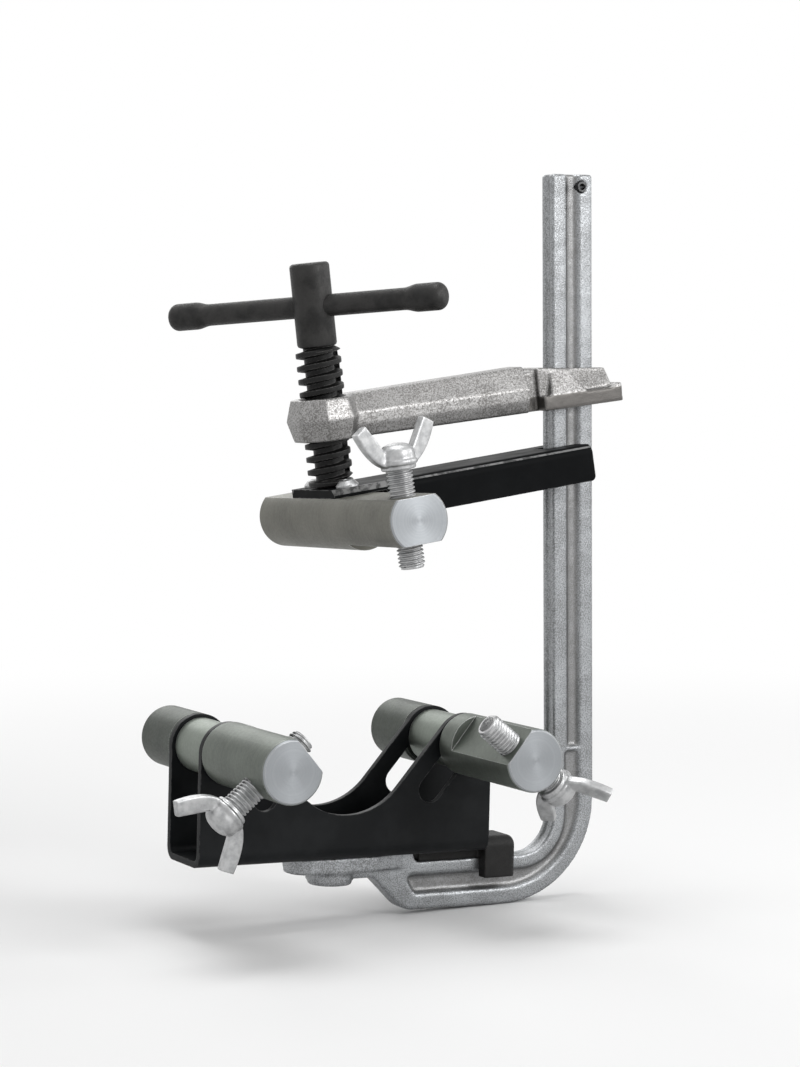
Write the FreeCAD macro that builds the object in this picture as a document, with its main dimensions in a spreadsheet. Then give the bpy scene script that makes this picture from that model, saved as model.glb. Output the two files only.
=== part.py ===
"""Three-bar pipe clamp on a sliding-arm clamp frame, as a parametric document.

Frame: millimetres, +Z up the rail, +Y along the held pipe, +X from the jaws to the rail.
The origin is the centre of the held pipe, in the mid plane of the rail and the cradle.
"""
import FreeCAD, Part
import math
import os

import Sketcher

PARTS_FOLDER = "parts"
SHEET_NAME = "Dims"

DRIVING_SIZES = {
    # Held pipe and the three pressure bars round it
    "pipe_diameter": 110.0,
    "bar_diameter": 29.0,
    "bar_half_spread": 60.6,
    "bar_flat_depth": 4.0,
    "bar_edge_chamfer": 1.0,
    "front_bar_length": 65.0,
    "front_bar_full_length": 13.0,
    "left_bar_aim": 41.0,
    "right_bar_aim": 38.5,
    "rear_head_diameter": 28.4,
    "rear_head_length": 33.5,
    "spacer_diameter": 25.0,
    # The spindle's axis, and the upper bar and guide channel that hang askew on its neck
    "jaw_offset": 1.0,
    "jaw_droop": 6.0,
    "pressure_lift": 1.8,
    "pressure_droop": 1.5,
    "pressure_roll": 2.0,
    "upper_bar_near_reach": 82.3,
    "upper_bar_far_reach": 53.5,
    "upper_bar_full_reach": 29.5,
    "channel_width": 44.0,
    "channel_depth": 17.5,
    "channel_plate": 4.0,
    "channel_bend_radius": 4.4,
    "channel_left_reach": 10.0,
    "channel_right_reach": 129.0,
    "channel_flange_start": 17.0,
    "channel_rail_slot_length": 16.0,
    "channel_rail_clearance": 1.0,
    "channel_corner_radius": 2.5,
    # Cradle
    "toe_in": 2.0,
    "cradle_width": 36.0,
    "cradle_plate": 3.0,
    "cradle_drop": 52.0,
    "cradle_waist": 21.0,
    "cradle_bend_radius": 6.0,
    "lobe_radius": 14.2,
    "slot_width": 12.4,
    "slot_run": 27.6,
    "slot_angle": 49.5,
    "cradle_screw_diameter": 10.0,
    "cradle_screw_head_diameter": 17.0,
    "cradle_screw_head_height": 6.0,
    "cradle_screw_recess": 1.0,
    # Rail and fixed arm
    "rail_offset": 127.0,
    "rail_width": 22.0,
    "rail_thickness": 10.5,
    "rail_top": 232.0,
    "rail_groove_width": 8.0,
    "rail_groove_depth": 2.4,
    "rail_edge_chamfer": 0.8,
    "inner_groove_width": 4.0,
    "inner_groove_depth": 0.8,
    "inner_groove_end": 97.0,
    "groove_wall_angle": 40.0,
    "bend_outer_radius": 48.0,
    "bend_inner_radius": 18.0,
    "arm_height": 23.0,
    "arm_gap": 5.0,
    "arm_knee": 37.0,
    "knee_inner_radius": 5.0,
    "knee_outer_radius": 12.0,
    "arm_outer_flange": 7.0,
    "arm_inner_flange": 5.5,
    "arm_recess_depth": 2.6,
    "arm_recess_rise": 45.0,
    "arm_recess_radius": 3.0,
    "arm_recess_swing": 17.5,
    "arm_recess_lead": 2.0,
    "arm_recess_lean": 3.0,
    "pad_left_reach": 22.5,
    "pad_right_reach": 41.0,
    "pad_width": 22.0,
    "pad_thickness": 7.5,
    "pad_root_thickness": 11.3,
    "pad_heel_run": 2.0,
    "pad_heel_radius": 2.0,
    "pad_end_radius": 1.5,
    "pad_nose_radius": 1.2,
    "pad_lip_rise": 1.5,
    "pad_lip_radius": 2.5,
    "pad_plan_radius": 9.9,
    "pad_plan_taper": 5.0,
    "boss_diameter": 21.0,
    "boss_height": 13.6,
    "boss_edge_radius": 1.2,
    "stop_pin_diameter": 5.0,
    "stop_pin_wall": 1.0,
    "stop_pin_slit": 1.0,
    "stop_pin_stand": 0.8,
    "stop_pin_down": 6.0,
    "stop_pin_across": 5.0,
    # Saddle block between the cradle and the fixed arm
    "saddle_length": 17.4,
    "saddle_width": 23.0,
    "saddle_rise": 5.7,
    "saddle_leg": 9.0,
    "saddle_corner_radius": 5.0,
    "saddle_end_radius": 3.5,
    "saddle_standoff": 2.0,
    "saddle_gap_clearance": 0.1,
    "saddle_tongue_reach": 44.5,
    "saddle_tongue_width": 10.0,
    "saddle_tongue_inset": 5.0,
    "saddle_screw_place": 58.0,
    "saddle_screw_diameter": 5.0,
    "saddle_screw_head_diameter": 8.5,
    "saddle_screw_head_height": 5.0,
    "saddle_screw_recess": 0.5,
    # Sliding arm
    "sliding_arm_lift": 33.5,
    "sliding_arm_height": 20.0,
    "sliding_arm_rise": 2.2,
    "sliding_arm_width": 22.0,
    "sliding_arm_ridge": 1.5,
    "sliding_arm_band": 5.5,
    "sliding_arm_crest_width": 12.0,
    "sliding_arm_foot_width": 16.0,
    "spindle_boss_width": 33.0,
    "spindle_boss_height": 19.6,
    "spindle_boss_draft": 15.0,
    "neck_width": 9.0,
    "neck_length": 7.0,
    "neck_root": 4.0,
    "neck_drop": 1.0,
    "sleeve_width": 24.0,
    "sleeve_wall_width": 14.5,
    "sleeve_left_height": 20.8,
    "sleeve_right_height": 16.7,
    "sleeve_wall_reach": 6.2,
    "sleeve_tail_inset": 2.5,
    "sleeve_band": 7.0,
    "sleeve_lip_rise": 2.0,
    "sleeve_lip_width": 1.5,
    "sleeve_lip_run": 6.5,
    "sleeve_lip_radius": 8.0,
    "sleeve_left_wall": 9.4,
    "sleeve_right_wall": 12.5,
    "gusset_top_lead": 2.5,
    "gusset_top_run": 7.9,
    "gusset_foot_lead": 5.0,
    "gusset_foot_run": 14.7,
    "sleeve_slot_play": 3.4,
    "sleeve_side_clearance": 0.3,
    # Spindle and handle
    "thread_diameter": 20.8,
    "thread_root_diameter": 13.6,
    "thread_pitch": 6.0,
    "thread_crest": 2.1,
    "thread_flank_angle": 15.0,
    "thread_length": 64.25,
    "spindle_head_diameter": 18.4,
    "spindle_head_length": 38.5,
    "spindle_head_chamfer": 1.2,
    "spindle_neck_diameter": 10.0,
    "spindle_seat_height": 2.5,
    "shoulder_play": 0.75,
    "neck_clearance": 0.25,
    "collar_diameter": 15.0,
    "collar_thickness": 3.0,
    "collar_play": 0.65,
    "collar_pocket_clearance": 0.8,
    "handle_height": 18.5,
    "handle_diameter": 10.2,
    "handle_length": 143.0,
    "handle_shift": 4.0,
    "handle_end_diameter": 12.8,
    "handle_end_length": 20.8,
    "handle_flare_length": 7.4,
    "handle_end_rounding": 2.7,
    "handle_yaw": 54.0,
    "guide_screw_diameter": 6.0,
    "guide_screw_chamfer": 0.5,
    "guide_screw_spread": 16.5,
    "guide_screw_head_diameter": 10.6,
    "guide_screw_head_height": 3.4,
    "guide_screw_depth": 9.0,
    # Clamp bolts and wing screws
    "clamp_bolt_diameter": 11.9,
    "clamp_bolt_head_diameter": 18.0,
    "clamp_bolt_head_height": 12.0,
    "clamp_bolt_head_chamfer": 0.5,
    "clamp_bolt_socket": 10.0,
    "clamp_bolt_engagement": 22.0,
    "clamp_bolt_run_out": 2.0,
    "stud_diameter": 11.9,
    "stud_tip_chamfer": 1.4,
    "stud_reach": 17.5,
    "upper_wing_place": 69.2,
    "left_wing_place": 65.0,
    "right_wing_place": 73.0,
    "upper_screw_advance": 4.0,
    "left_screw_advance": 0.2,
    "right_screw_advance": 8.5,
    "hub_stand": 26.5,
    "hub_diameter": 17.0,
    "hub_height": 12.0,
    "hub_crown_radius": 5.0,
    "hub_collar_diameter": 15.0,
    "hub_collar_height": 3.0,
    "hub_collar_chamfer": 1.0,
    "hub_socket_depth": 8.0,
    "wing_foot_out": 5.5,
    "wing_foot_drop": 5.0,
    "wing_elbow_out": 16.0,
    "wing_elbow_rise": 1.2,
    "wing_elbow_radius": 8.0,
    "wing_tip_out": 22.3,
    "wing_tip_rise": 12.2,
    "wing_tip_radius": 1.2,
    "wing_crown_out": 16.3,
    "wing_crown_rise": 15.8,
    "wing_crown_radius": 1.0,
    "wing_fork_out": 6.5,
    "wing_fork_rise": 1.0,
    "wing_thickness": 4.2,
    "upper_wing_yaw": 11.0,
    "left_wing_yaw": -4.0,
    "right_wing_yaw": 61.0,
    # Running clearances, on the radius
    "thread_clearance": 0.08,
    "screw_clearance": 0.05,
    "flange_clearance": 0.3,
    "seat_clearance": 0.3,
    # How far a cut runs past the face that it opens, and how far joined features overlap
    "cut_margin": 1.0,
}

# Shares of a larger size, the same at every scale
ROUND_END = 0.99
LEAST_CUT = 0.99999
CAP_CHAMFER = 0.1
CAP_SOCKET = 0.27
CAP_SOCKET_FLOOR = 0.45
BUTTON_RIM = 0.3
BUTTON_CROWN = 0.6
BUTTON_SOCKET = 0.6
BUTTON_SOCKET_FLOOR = 0.4


class Size:
    """A size that carries its number and the spreadsheet expression that it comes from."""

    def __init__(self, value, text=None):
        self.value = float(value)
        self.text = text if text else f"({self.value!r})"

    def __add__(self, other):
        return combine(self, "+", other)

    def __radd__(self, other):
        return combine(other, "+", self)

    def __sub__(self, other):
        return combine(self, "-", other)

    def __rsub__(self, other):
        return combine(other, "-", self)

    def __mul__(self, other):
        return combine(self, "*", other)

    def __rmul__(self, other):
        return combine(other, "*", self)

    def __truediv__(self, other):
        return combine(self, "/", other)

    def __neg__(self):
        return combine(0, "-", self)


def as_size(value):
    """Return the value as a Size."""
    return value if isinstance(value, Size) else Size(value)


def combine(left, sign, right):
    """Return left and right joined by + - * or /, as a number and as an expression."""
    left = as_size(left)
    right = as_size(right)
    results = {
        "+": left.value + right.value,
        "-": left.value - right.value,
        "*": left.value * right.value,
        "/": left.value / right.value if right.value else math.inf,
    }
    return Size(results[sign], f"({left.text} {sign} {right.text})")


def sine(angle):
    """Return the sine of an angle in degrees."""
    return Size(math.sin(math.radians(angle.value)), f"sin({angle.text})")


def cosine(angle):
    """Return the cosine of an angle in degrees."""
    return Size(math.cos(math.radians(angle.value)), f"cos({angle.text})")


def tangent(angle):
    """Return the tangent of an angle in degrees."""
    return Size(math.tan(math.radians(angle.value)), f"tan({angle.text})")


def root(square):
    """Return the square root."""
    return Size(math.sqrt(square.value), f"sqrt({square.text})")


class Dimensions:
    """The driving sizes, each read as an attribute under its spreadsheet alias."""

    def __init__(self, document):
        sheet = document.addObject("Spreadsheet::Sheet", SHEET_NAME)
        for row, (alias, number) in enumerate(DRIVING_SIZES.items(), start=1):
            sheet.set(f"A{row}", alias)
            sheet.set(f"B{row}", str(number))
            sheet.setAlias(f"B{row}", alias)
            setattr(self, alias, Size(number, f"{SHEET_NAME}.{alias}"))
        document.recompute()


class Frame:
    """A place in the model: a numeric placement and the expression that drives it."""

    def __init__(self, move=(0, 0, 0), axis=(0, 1, 0), angle=0, text=None, placement=None):
        move = [as_size(value) for value in move]
        angle = as_size(angle)
        rotation = FreeCAD.Rotation(FreeCAD.Vector(*axis), angle.value)
        base = FreeCAD.Vector(*[value.value for value in move])
        self.placement = placement or FreeCAD.Placement(base, rotation)
        place = "; ".join(value.text for value in move)
        turn = "; ".join(str(value) for value in axis)
        self.text = text or (
            f"create(<<placement>>; create(<<vector>>; {place}); "
            f"create(<<rotation>>; create(<<vector>>; {turn}); {angle.text}))"
        )

    def then(self, inner):
        """Return the frame that is reached by the inner frame, stated within this one."""
        return Frame(
            text=f"{self.text} * {inner.text}",
            placement=self.placement.multiply(inner.placement),
        )

    def hold(self, item):
        """Place a document object in this frame."""
        item.Placement = self.placement
        item.setExpression("Placement", self.text)


def corner_arc(before, corner, after, radius):
    """Return the start, the end and the arc that round a corner between two straight lines."""
    into = (corner - before).normalize()
    out = (after - corner).normalize()
    turn = into.cross(out).z
    run = radius * math.tan(into.getAngle(out) / 2)
    start = corner - into * run
    end = corner + out * run
    side = 1 if turn > 0 else -1
    normal = FreeCAD.Vector(-into.y, into.x, 0) * side
    centre = start + normal * radius
    first, last = (start, end) if turn > 0 else (end, start)
    angles = [math.atan2(point.y - centre.y, point.x - centre.x) for point in (first, last)]
    circle = Part.Circle(centre, FreeCAD.Vector(0, 0, 1), radius)
    return start, end, Part.ArcOfCircle(circle, *angles), turn > 0


def fix_point(sketch, geometry, position, across, up):
    """Bind a sketch point to its two coordinates."""
    for kind, size in (("DistanceX", across), ("DistanceY", up)):
        index = sketch.addConstraint(
            Sketcher.Constraint(kind, -1, 1, geometry, position, size.value)
        )
        sketch.setExpression(f"Constraints[{index}]", size.text)


def draw_outline(sketch, corners):
    """Draw a closed outline through corners, each (across, up) or (across, up, radius)."""
    corners = [[as_size(value) for value in corner] for corner in corners]
    points = [FreeCAD.Vector(corner[0].value, corner[1].value, 0) for corner in corners]
    count = len(points)
    arcs = {}
    for index, corner in enumerate(corners):
        if len(corner) == 3:
            arcs[index] = corner_arc(
                points[index - 1], points[index], points[(index + 1) % count], corner[2].value
            )
    lines = []
    for index in range(count):
        following = (index + 1) % count
        start = arcs[index][1] if index in arcs else points[index]
        end = arcs[following][0] if following in arcs else points[following]
        lines.append(sketch.addGeometry(Part.LineSegment(start, end), False))
    for index, corner in enumerate(corners):
        incoming = lines[index - 1]
        outgoing = lines[index]
        if index not in arcs:
            sketch.addConstraint(Sketcher.Constraint("Coincident", incoming, 2, outgoing, 1))
            fix_point(sketch, outgoing, 1, corner[0], corner[1])
            continue
        arc = sketch.addGeometry(arcs[index][2], False)
        near_end, far_end = (1, 2) if arcs[index][3] else (2, 1)
        sketch.addConstraint(Sketcher.Constraint("Tangent", incoming, 2, arc, near_end))
        sketch.addConstraint(Sketcher.Constraint("Tangent", arc, far_end, outgoing, 1))
        radius = sketch.addConstraint(Sketcher.Constraint("Radius", arc, corner[2].value))
        sketch.setExpression(f"Constraints[{radius}]", corner[2].text)
        knot = sketch.addGeometry(Part.Point(points[index]), True)
        sketch.addConstraint(Sketcher.Constraint("PointOnObject", knot, 1, incoming))
        sketch.addConstraint(Sketcher.Constraint("PointOnObject", knot, 1, outgoing))
        fix_point(sketch, knot, 1, corner[0], corner[1])


def draw_circle(sketch, across, up, radius):
    """Draw a circle about a centre."""
    across, up, radius = (as_size(value) for value in (across, up, radius))
    centre = FreeCAD.Vector(across.value, up.value, 0)
    circle = sketch.addGeometry(
        Part.Circle(centre, FreeCAD.Vector(0, 0, 1), radius.value), False
    )
    index = sketch.addConstraint(Sketcher.Constraint("Radius", circle, radius.value))
    sketch.setExpression(f"Constraints[{index}]", radius.text)
    fix_point(sketch, circle, 3, across, up)


def box(left, right, low, high):
    """Return the corners of an upright rectangle."""
    return [(left, low), (right, low), (right, high), (left, high)]


class Piece:
    """One separate piece: a body that is built feature by feature and placed in a frame."""

    def __init__(self, document, label, frame=None):
        self.document = document
        self.body = document.addObject("PartDesign::Body", label)
        self.body.Label = label
        if frame:
            frame.hold(self.body)

    def plane(self, role):
        """Return one of the body's own origin planes or axes."""
        return next(item for item in self.body.Origin.OriginFeatures if item.Role == role)

    def sketch(self, plane, offset):
        """Return an empty sketch on a plane, moved along the plane's normal."""
        sketch = self.body.newObject("Sketcher::SketchObject", f"{self.body.Label}_sketch")
        sketch.AttachmentSupport = [(self.plane(f"{plane}_Plane"), "")]
        sketch.MapMode = "FlatFace"
        offset = as_size(offset)
        sketch.setExpression("AttachmentOffset.Base.z", offset.text)
        return sketch

    def extrude(self, kind, plane, low, high, shapes, draft=None):
        """Pad or pocket shapes between two coordinates along the plane's axis.

        The XZ plane's normal is -Y, so its sketches sit at the other end of the span.
        """
        low = as_size(low)
        high = as_size(high)
        toward_high = kind == "Pad"
        if plane == "XZ":
            offset = -high if toward_high else -low
        else:
            offset = low if toward_high else high
        sketch = self.sketch(plane, offset)
        for shape in shapes:
            if isinstance(shape, list):
                draw_outline(sketch, shape)
            else:
                draw_circle(sketch, *shape)
        feature = self.body.newObject(f"PartDesign::{kind}", f"{self.body.Label}_{kind}")
        feature.Profile = sketch
        feature.setExpression("Length", (high - low).text)
        if draft:
            feature.setExpression("TaperAngle", as_size(draft).text)
        return feature

    def pad(self, plane, low, high, *shapes, draft=None):
        """Add material between two coordinates."""
        return self.extrude("Pad", plane, low, high, shapes, draft)

    def pocket(self, plane, low, high, *shapes, draft=None):
        """Cut between two coordinates, and check that the cut removes material."""
        before = self.volume()
        feature = self.extrude("Pocket", plane, low, high, shapes, draft)
        if self.volume() > before * LEAST_CUT:
            raise RuntimeError(f"{self.body.Label}: a pocket cuts nothing")
        return feature

    def loft(self, plane, low, first, high, last):
        """Add material that runs straight from one outline to another."""
        sketches = []
        for place, corners in ((low, first), (high, last)):
            sketch = self.sketch(plane, place)
            draw_outline(sketch, corners)
            sketches.append(sketch)
        feature = self.body.newObject("PartDesign::AdditiveLoft", f"{self.body.Label}_Loft")
        feature.Profile = sketches[0]
        feature.Sections = sketches[1:]
        feature.Ruled = True
        return feature

    def turn(self, kind, plane, corners, offset=0):
        """Revolve or groove an outline about the sketch's upright axis."""
        sketch = self.sketch(plane, offset)
        draw_outline(sketch, corners)
        feature = self.body.newObject(f"PartDesign::{kind}", f"{self.body.Label}_{kind}")
        feature.Profile = sketch
        feature.ReferenceAxis = (sketch, ["V_Axis"])
        feature.Angle = 360
        return feature

    def repeat(self, feature, axis, spacing, count):
        """Repeat a feature along one of the body's axes."""
        pattern = self.body.newObject("PartDesign::LinearPattern", f"{self.body.Label}_row")
        pattern.Originals = [feature]
        pattern.Direction = (self.plane(f"{axis}_Axis"), [""])
        pattern.Mode = "Spacing"
        pattern.setExpression("Offset", spacing.text)
        pattern.setExpression("Occurrences", count.text)
        self.body.Tip = pattern
        return pattern

    def mirror(self, feature, plane):
        """Repeat a feature on the other side of one of the body's planes."""
        copy = self.body.newObject("PartDesign::Mirrored", f"{self.body.Label}_mirror")
        copy.Originals = [feature]
        copy.MirrorPlane = (self.plane(f"{plane}_Plane"), [""])
        self.body.Tip = copy
        return copy

    def soften(self, kind, size, chosen):
        """Fillet or chamfer the edges that the chosen test picks by their middle point."""
        self.document.recompute()
        tip = self.body.Tip
        names = [
            f"Edge{number}"
            for number, edge in enumerate(tip.Shape.Edges, start=1)
            if chosen(edge)
        ]
        if not names:
            raise RuntimeError(f"{self.body.Label}: no edge to soften")
        feature = self.body.newObject(f"PartDesign::{kind}", f"{self.body.Label}_{kind}")
        feature.Base = (tip, names)
        feature.setExpression("Radius" if kind == "Fillet" else "Size", as_size(size).text)
        return feature

    def volume(self):
        """Return the volume that the body has now."""
        self.document.recompute()
        return self.body.Shape.Volume


def near(value, target, margin=0.01):
    """Tell whether two numbers agree."""
    return abs(value - target) < margin


# ---------------------------------------------------------------- shared places


class Layout:
    """Places and frames that several pieces share, worked out from the driving sizes."""

    def __init__(self, dims):
        self.bar_radius = dims.bar_diameter / 2
        self.reach = (dims.pipe_diameter + dims.bar_diameter) / 2
        square = self.reach * self.reach - dims.bar_half_spread * dims.bar_half_spread
        self.bar_drop = root(square)
        self.flat_height = self.bar_radius - dims.bar_flat_depth
        self.cradle = Frame(angle=dims.toe_in)
        self.cradle_bottom = -self.bar_drop - dims.cradle_drop
        self.cradle_face = dims.cradle_width / 2
        self.cradle_end = dims.bar_half_spread + dims.lobe_radius
        self.cradle_inner_face = self.cradle_face - dims.cradle_plate
        self.web_top = self.cradle_bottom + dims.cradle_plate
        self.arm_top = self.cradle_bottom - dims.arm_gap
        self.arm_bottom = self.arm_top - dims.arm_height
        self.jaw = Frame(move=(dims.jaw_offset, 0, self.reach), angle=-dims.jaw_droop)
        self.pressure = self.pressure_frame(dims)
        self.plate_top = self.flat_height + dims.channel_plate
        self.arm_middle = self.plate_top + dims.sliding_arm_lift
        self.spindle_shoulder = self.plate_top + dims.pressure_lift + dims.shoulder_play
        self.collar_top = self.flat_height + dims.pressure_lift - dims.collar_play
        self.rail_inner = dims.rail_offset - dims.rail_width / 2
        self.rail_outer = dims.rail_offset + dims.rail_width / 2
        self.stud_radius = dims.stud_diameter / 2
        self.stud_bore = self.stud_radius + dims.screw_clearance
        self.front_bar_end = -self.cradle_face - dims.front_bar_length

    def pressure_frame(self, dims):
        """Return the upper bar's frame, turned about the middle of the spindle's loose neck."""
        pivot = self.flat_height + dims.channel_plate / 2
        hung = Frame(move=(0, 0, pivot + dims.pressure_lift), angle=-dims.pressure_droop)
        rolled = Frame(axis=(1, 0, 0), angle=-dims.pressure_roll)
        return self.jaw.then(hung).then(rolled).then(Frame(move=(0, 0, -pivot)))

    def rail_in_jaw(self, dims, rail_side, height):
        """Return where a rail face crosses a height of the jaw's frame."""
        span = rail_side - dims.jaw_offset + height * sine(dims.jaw_droop)
        return span / cosine(dims.jaw_droop)

    def from_cradle(self, dims, across, up):
        """Return a point of the cradle's frame in the model's frame."""
        across = as_size(across)
        sin_toe = sine(dims.toe_in)
        cos_toe = cosine(dims.toe_in)
        return across * cos_toe + up * sin_toe, up * cos_toe - across * sin_toe

    def meet_arm(self, dims, across, up):
        """Return where an upright line of the rail meets a level of the fixed arm."""
        return across, (up - across * sine(dims.toe_in)) / cosine(dims.toe_in)


# ---------------------------------------------------------------- rail, fixed arm, cradle


def make_rail(document, dims, layout):
    """Build the rail, its bend, the fixed arm and the jaw pad as one forging."""
    piece = Piece(document, "rail_and_fixed_arm")
    half = dims.rail_thickness / 2
    pad_root = layout.cradle_bottom - dims.pad_root_thickness
    pad_thin = layout.cradle_bottom - dims.pad_thickness
    knee_rise = pad_root - layout.arm_bottom
    boss_radius = dims.boss_diameter / 2

    def tilted(across, up, *radius):
        return (*layout.from_cradle(dims, across, up), *radius)

    outline = [
        (layout.rail_inner, dims.rail_top),
        (*layout.meet_arm(dims, layout.rail_inner, layout.arm_top), dims.bend_inner_radius),
        tilted(dims.pad_right_reach + dims.pad_heel_run, layout.arm_top, dims.pad_heel_radius),
        tilted(dims.pad_right_reach, layout.cradle_bottom, dims.pad_end_radius),
        tilted(-dims.pad_left_reach, layout.cradle_bottom, dims.pad_nose_radius),
        tilted(-dims.pad_left_reach, pad_thin + dims.pad_lip_rise, dims.pad_lip_radius),
        tilted(-boss_radius, pad_thin),
        tilted(-boss_radius, pad_root),
        tilted(dims.arm_knee - knee_rise, pad_root, dims.knee_inner_radius),
        tilted(dims.arm_knee, layout.arm_bottom, dims.knee_outer_radius),
        (*layout.meet_arm(dims, layout.rail_outer, layout.arm_bottom), dims.bend_outer_radius),
        (layout.rail_outer, dims.rail_top),
    ]
    piece.pad("XZ", -half, half, outline)

    # The channel of the rail and the deeper recess of the bend and arm, on both wide faces
    groove = box(
        dims.rail_offset - dims.rail_groove_width / 2,
        dims.rail_offset + dims.rail_groove_width / 2,
        -dims.arm_recess_rise,
        dims.rail_top + dims.rail_groove_width,
    )
    recess_left = layout.rail_inner + dims.arm_inner_flange
    recess_right = layout.rail_outer - dims.arm_outer_flange
    recess_low = layout.arm_bottom + dims.arm_outer_flange
    recess_high = layout.arm_top - dims.arm_inner_flange
    recess_end = dims.pad_right_reach - dims.arm_recess_lead
    recess_turn = dims.bend_inner_radius + dims.arm_inner_flange
    rounding = dims.arm_recess_radius
    recess = [
        (recess_left, -dims.arm_recess_rise, rounding),
        (*layout.meet_arm(dims, recess_left, recess_high), recess_turn),
        tilted(recess_end - dims.arm_recess_lean, recess_high, rounding),
        tilted(recess_end + dims.arm_recess_lean, recess_low, rounding),
        (
            *layout.meet_arm(dims, recess_right, recess_low),
            recess_turn + dims.arm_recess_swing,
        ),
        (recess_right, -dims.arm_recess_rise, rounding),
    ]
    for shape, depth in ((groove, dims.rail_groove_depth), (recess, dims.arm_recess_depth)):
        near_cut = piece.pocket(
            "XZ", -half, -half + depth, shape, draft=-dims.groove_wall_angle
        )
        piece.mirror(near_cut, "XZ")

    # The hole of the stop pin near the rail's top
    pin_place = (
        dims.rail_offset + dims.stop_pin_across,
        dims.rail_top - dims.stop_pin_down,
        dims.stop_pin_diameter / 2,
    )
    piece.pocket("XZ", -half, half, pin_place)
    top = dims.rail_top.value
    piece.soften(
        "Chamfer", dims.rail_edge_chamfer,
        lambda edge: near(edge.BoundBox.ZMin, top),
    )

    # The narrow groove of the rail's inner face, carried round the inside of the bend
    groove_half = dims.inner_groove_width / 2
    floor = dims.inner_groove_depth
    past = dims.cut_margin
    piece.pocket("XZ", -groove_half, groove_half, [
        (layout.rail_inner - past, dims.rail_top + past),
        (
            *layout.meet_arm(dims, layout.rail_inner - past, layout.arm_top + past),
            dims.bend_inner_radius - past,
        ),
        tilted(dims.inner_groove_end, layout.arm_top + past),
        tilted(dims.inner_groove_end, layout.arm_top - floor),
        (
            *layout.meet_arm(dims, layout.rail_inner + floor, layout.arm_top - floor),
            dims.bend_inner_radius + floor,
        ),
        (layout.rail_inner + floor, dims.rail_top + past),
    ])

    # The jaw pad, wider than the rail, and its boss, in the cradle's frame
    pad = Piece(document, "jaw_pad", layout.cradle)
    pad_half = dims.pad_width / 2
    pad_taper = dims.pad_right_reach - dims.pad_plan_taper
    plan = [
        (-dims.pad_left_reach, -pad_half, dims.pad_plan_radius),
        (dims.pad_right_reach - dims.pad_width, -pad_half),
        (pad_taper, -half),
        (pad_taper, half),
        (dims.pad_right_reach - dims.pad_width, pad_half),
        (-dims.pad_left_reach, pad_half, dims.pad_plan_radius),
    ]
    boss_bottom = layout.cradle_bottom - dims.boss_height
    pad.pad("XY", pad_thin, layout.cradle_bottom, plan)
    pad.pad("XY", boss_bottom, pad_thin, (0, 0, boss_radius))
    pad.soften(
        "Fillet", dims.boss_edge_radius,
        lambda edge: near(edge.BoundBox.ZMin, boss_bottom.value)
        and near(edge.BoundBox.ZMax, boss_bottom.value),
    )
    bore = document.addObject("Part::Cylinder", "cradle_screw_bore")
    bore.setExpression("Radius", (dims.cradle_screw_diameter / 2).text)
    bore.setExpression("Height", (dims.boss_height + dims.cut_margin * 2).text)
    layout.cradle.then(Frame(move=(0, 0, boss_bottom - dims.cut_margin))).hold(bore)
    forging = document.addObject("Part::Fuse", "forging")
    forging.Base = piece.body
    forging.Tool = pad.body
    forging.Refine = True
    drilled = document.addObject("Part::Cut", "rail_and_fixed_arm_drilled")
    drilled.Base = forging
    drilled.Tool = bore
    return drilled


def make_stop_pin(document, dims, layout):
    """Build the slotted spring pin that stops the sliding arm at the rail's top."""
    place = Frame(
        move=(dims.rail_offset + dims.stop_pin_across, 0, dims.rail_top - dims.stop_pin_down)
    )
    piece = Piece(document, "rail_stop_pin", place)
    reach = dims.rail_thickness / 2 + dims.stop_pin_stand
    outer = dims.stop_pin_diameter / 2
    inner = outer - dims.stop_pin_wall
    piece.pad("XZ", -reach, reach, (0, 0, outer), (0, 0, inner))
    slit = dims.stop_pin_slit / 2
    piece.pocket("XZ", -reach, reach, box(0, outer + dims.cut_margin, -slit, slit))
    return piece.body


def make_cradle(document, dims, layout):
    """Build the folded channel that carries the two lower bars in its slanting slots."""
    piece = Piece(document, "cradle", layout.cradle)
    face = layout.cradle_face
    inner = layout.cradle_inner_face
    bottom = layout.cradle_bottom
    centre = -layout.bar_drop
    end = layout.cradle_end

    # The channel's section, drawn as a U with rounded bends and carried along X
    bend = dims.cradle_bend_radius
    past = dims.cut_margin
    top = centre + dims.lobe_radius + past
    inner_bend = bend - dims.cradle_plate
    section = [
        (-face, top),
        (-face, bottom, bend),
        (face, bottom, bend),
        (face, top),
        (inner, top),
        (inner, layout.web_top, inner_bend),
        (-inner, layout.web_top, inner_bend),
        (-inner, top),
    ]
    piece.pad("YZ", -end, end, section)

    # Everything above the flanges' outline is cut away: it rises up each end, rounds a lobe
    # about each bar, runs down beside the slots and meets in a low round waist
    across = cosine(dims.slot_angle)
    down = sine(dims.slot_angle)
    lobe = dims.lobe_radius
    tangent_across = dims.bar_half_spread - lobe * down
    tangent_up = centre + lobe * across
    apex = tangent_up - tangent_across * tangent(dims.slot_angle)
    peak = apex + end * tangent(dims.slot_angle)
    waist = bottom + dims.cradle_waist
    waist_radius = (waist - apex) * across / (1 - across)
    shoulder = centre - lobe / 2
    clear = face + past
    piece.pocket("XZ", -clear, clear, [
        (-end - past, top + past),
        (-end - past, shoulder),
        (-end, shoulder),
        (-end, peak, lobe),
        (0, apex, waist_radius),
        (end, peak, lobe),
        (end, shoulder),
        (end + past, shoulder),
        (end + past, top + past),
    ])
    for side in (-1, 1):
        piece.pocket("XZ", -clear, clear, slot_outline(dims, side, centre))
    screw_bore = (0, 0, dims.cradle_screw_diameter / 2)
    saddle_bore = (dims.saddle_screw_place, 0, dims.saddle_screw_diameter / 2)
    piece.pocket("XY", bottom, layout.web_top, screw_bore, saddle_bore)
    return piece.body


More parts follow.
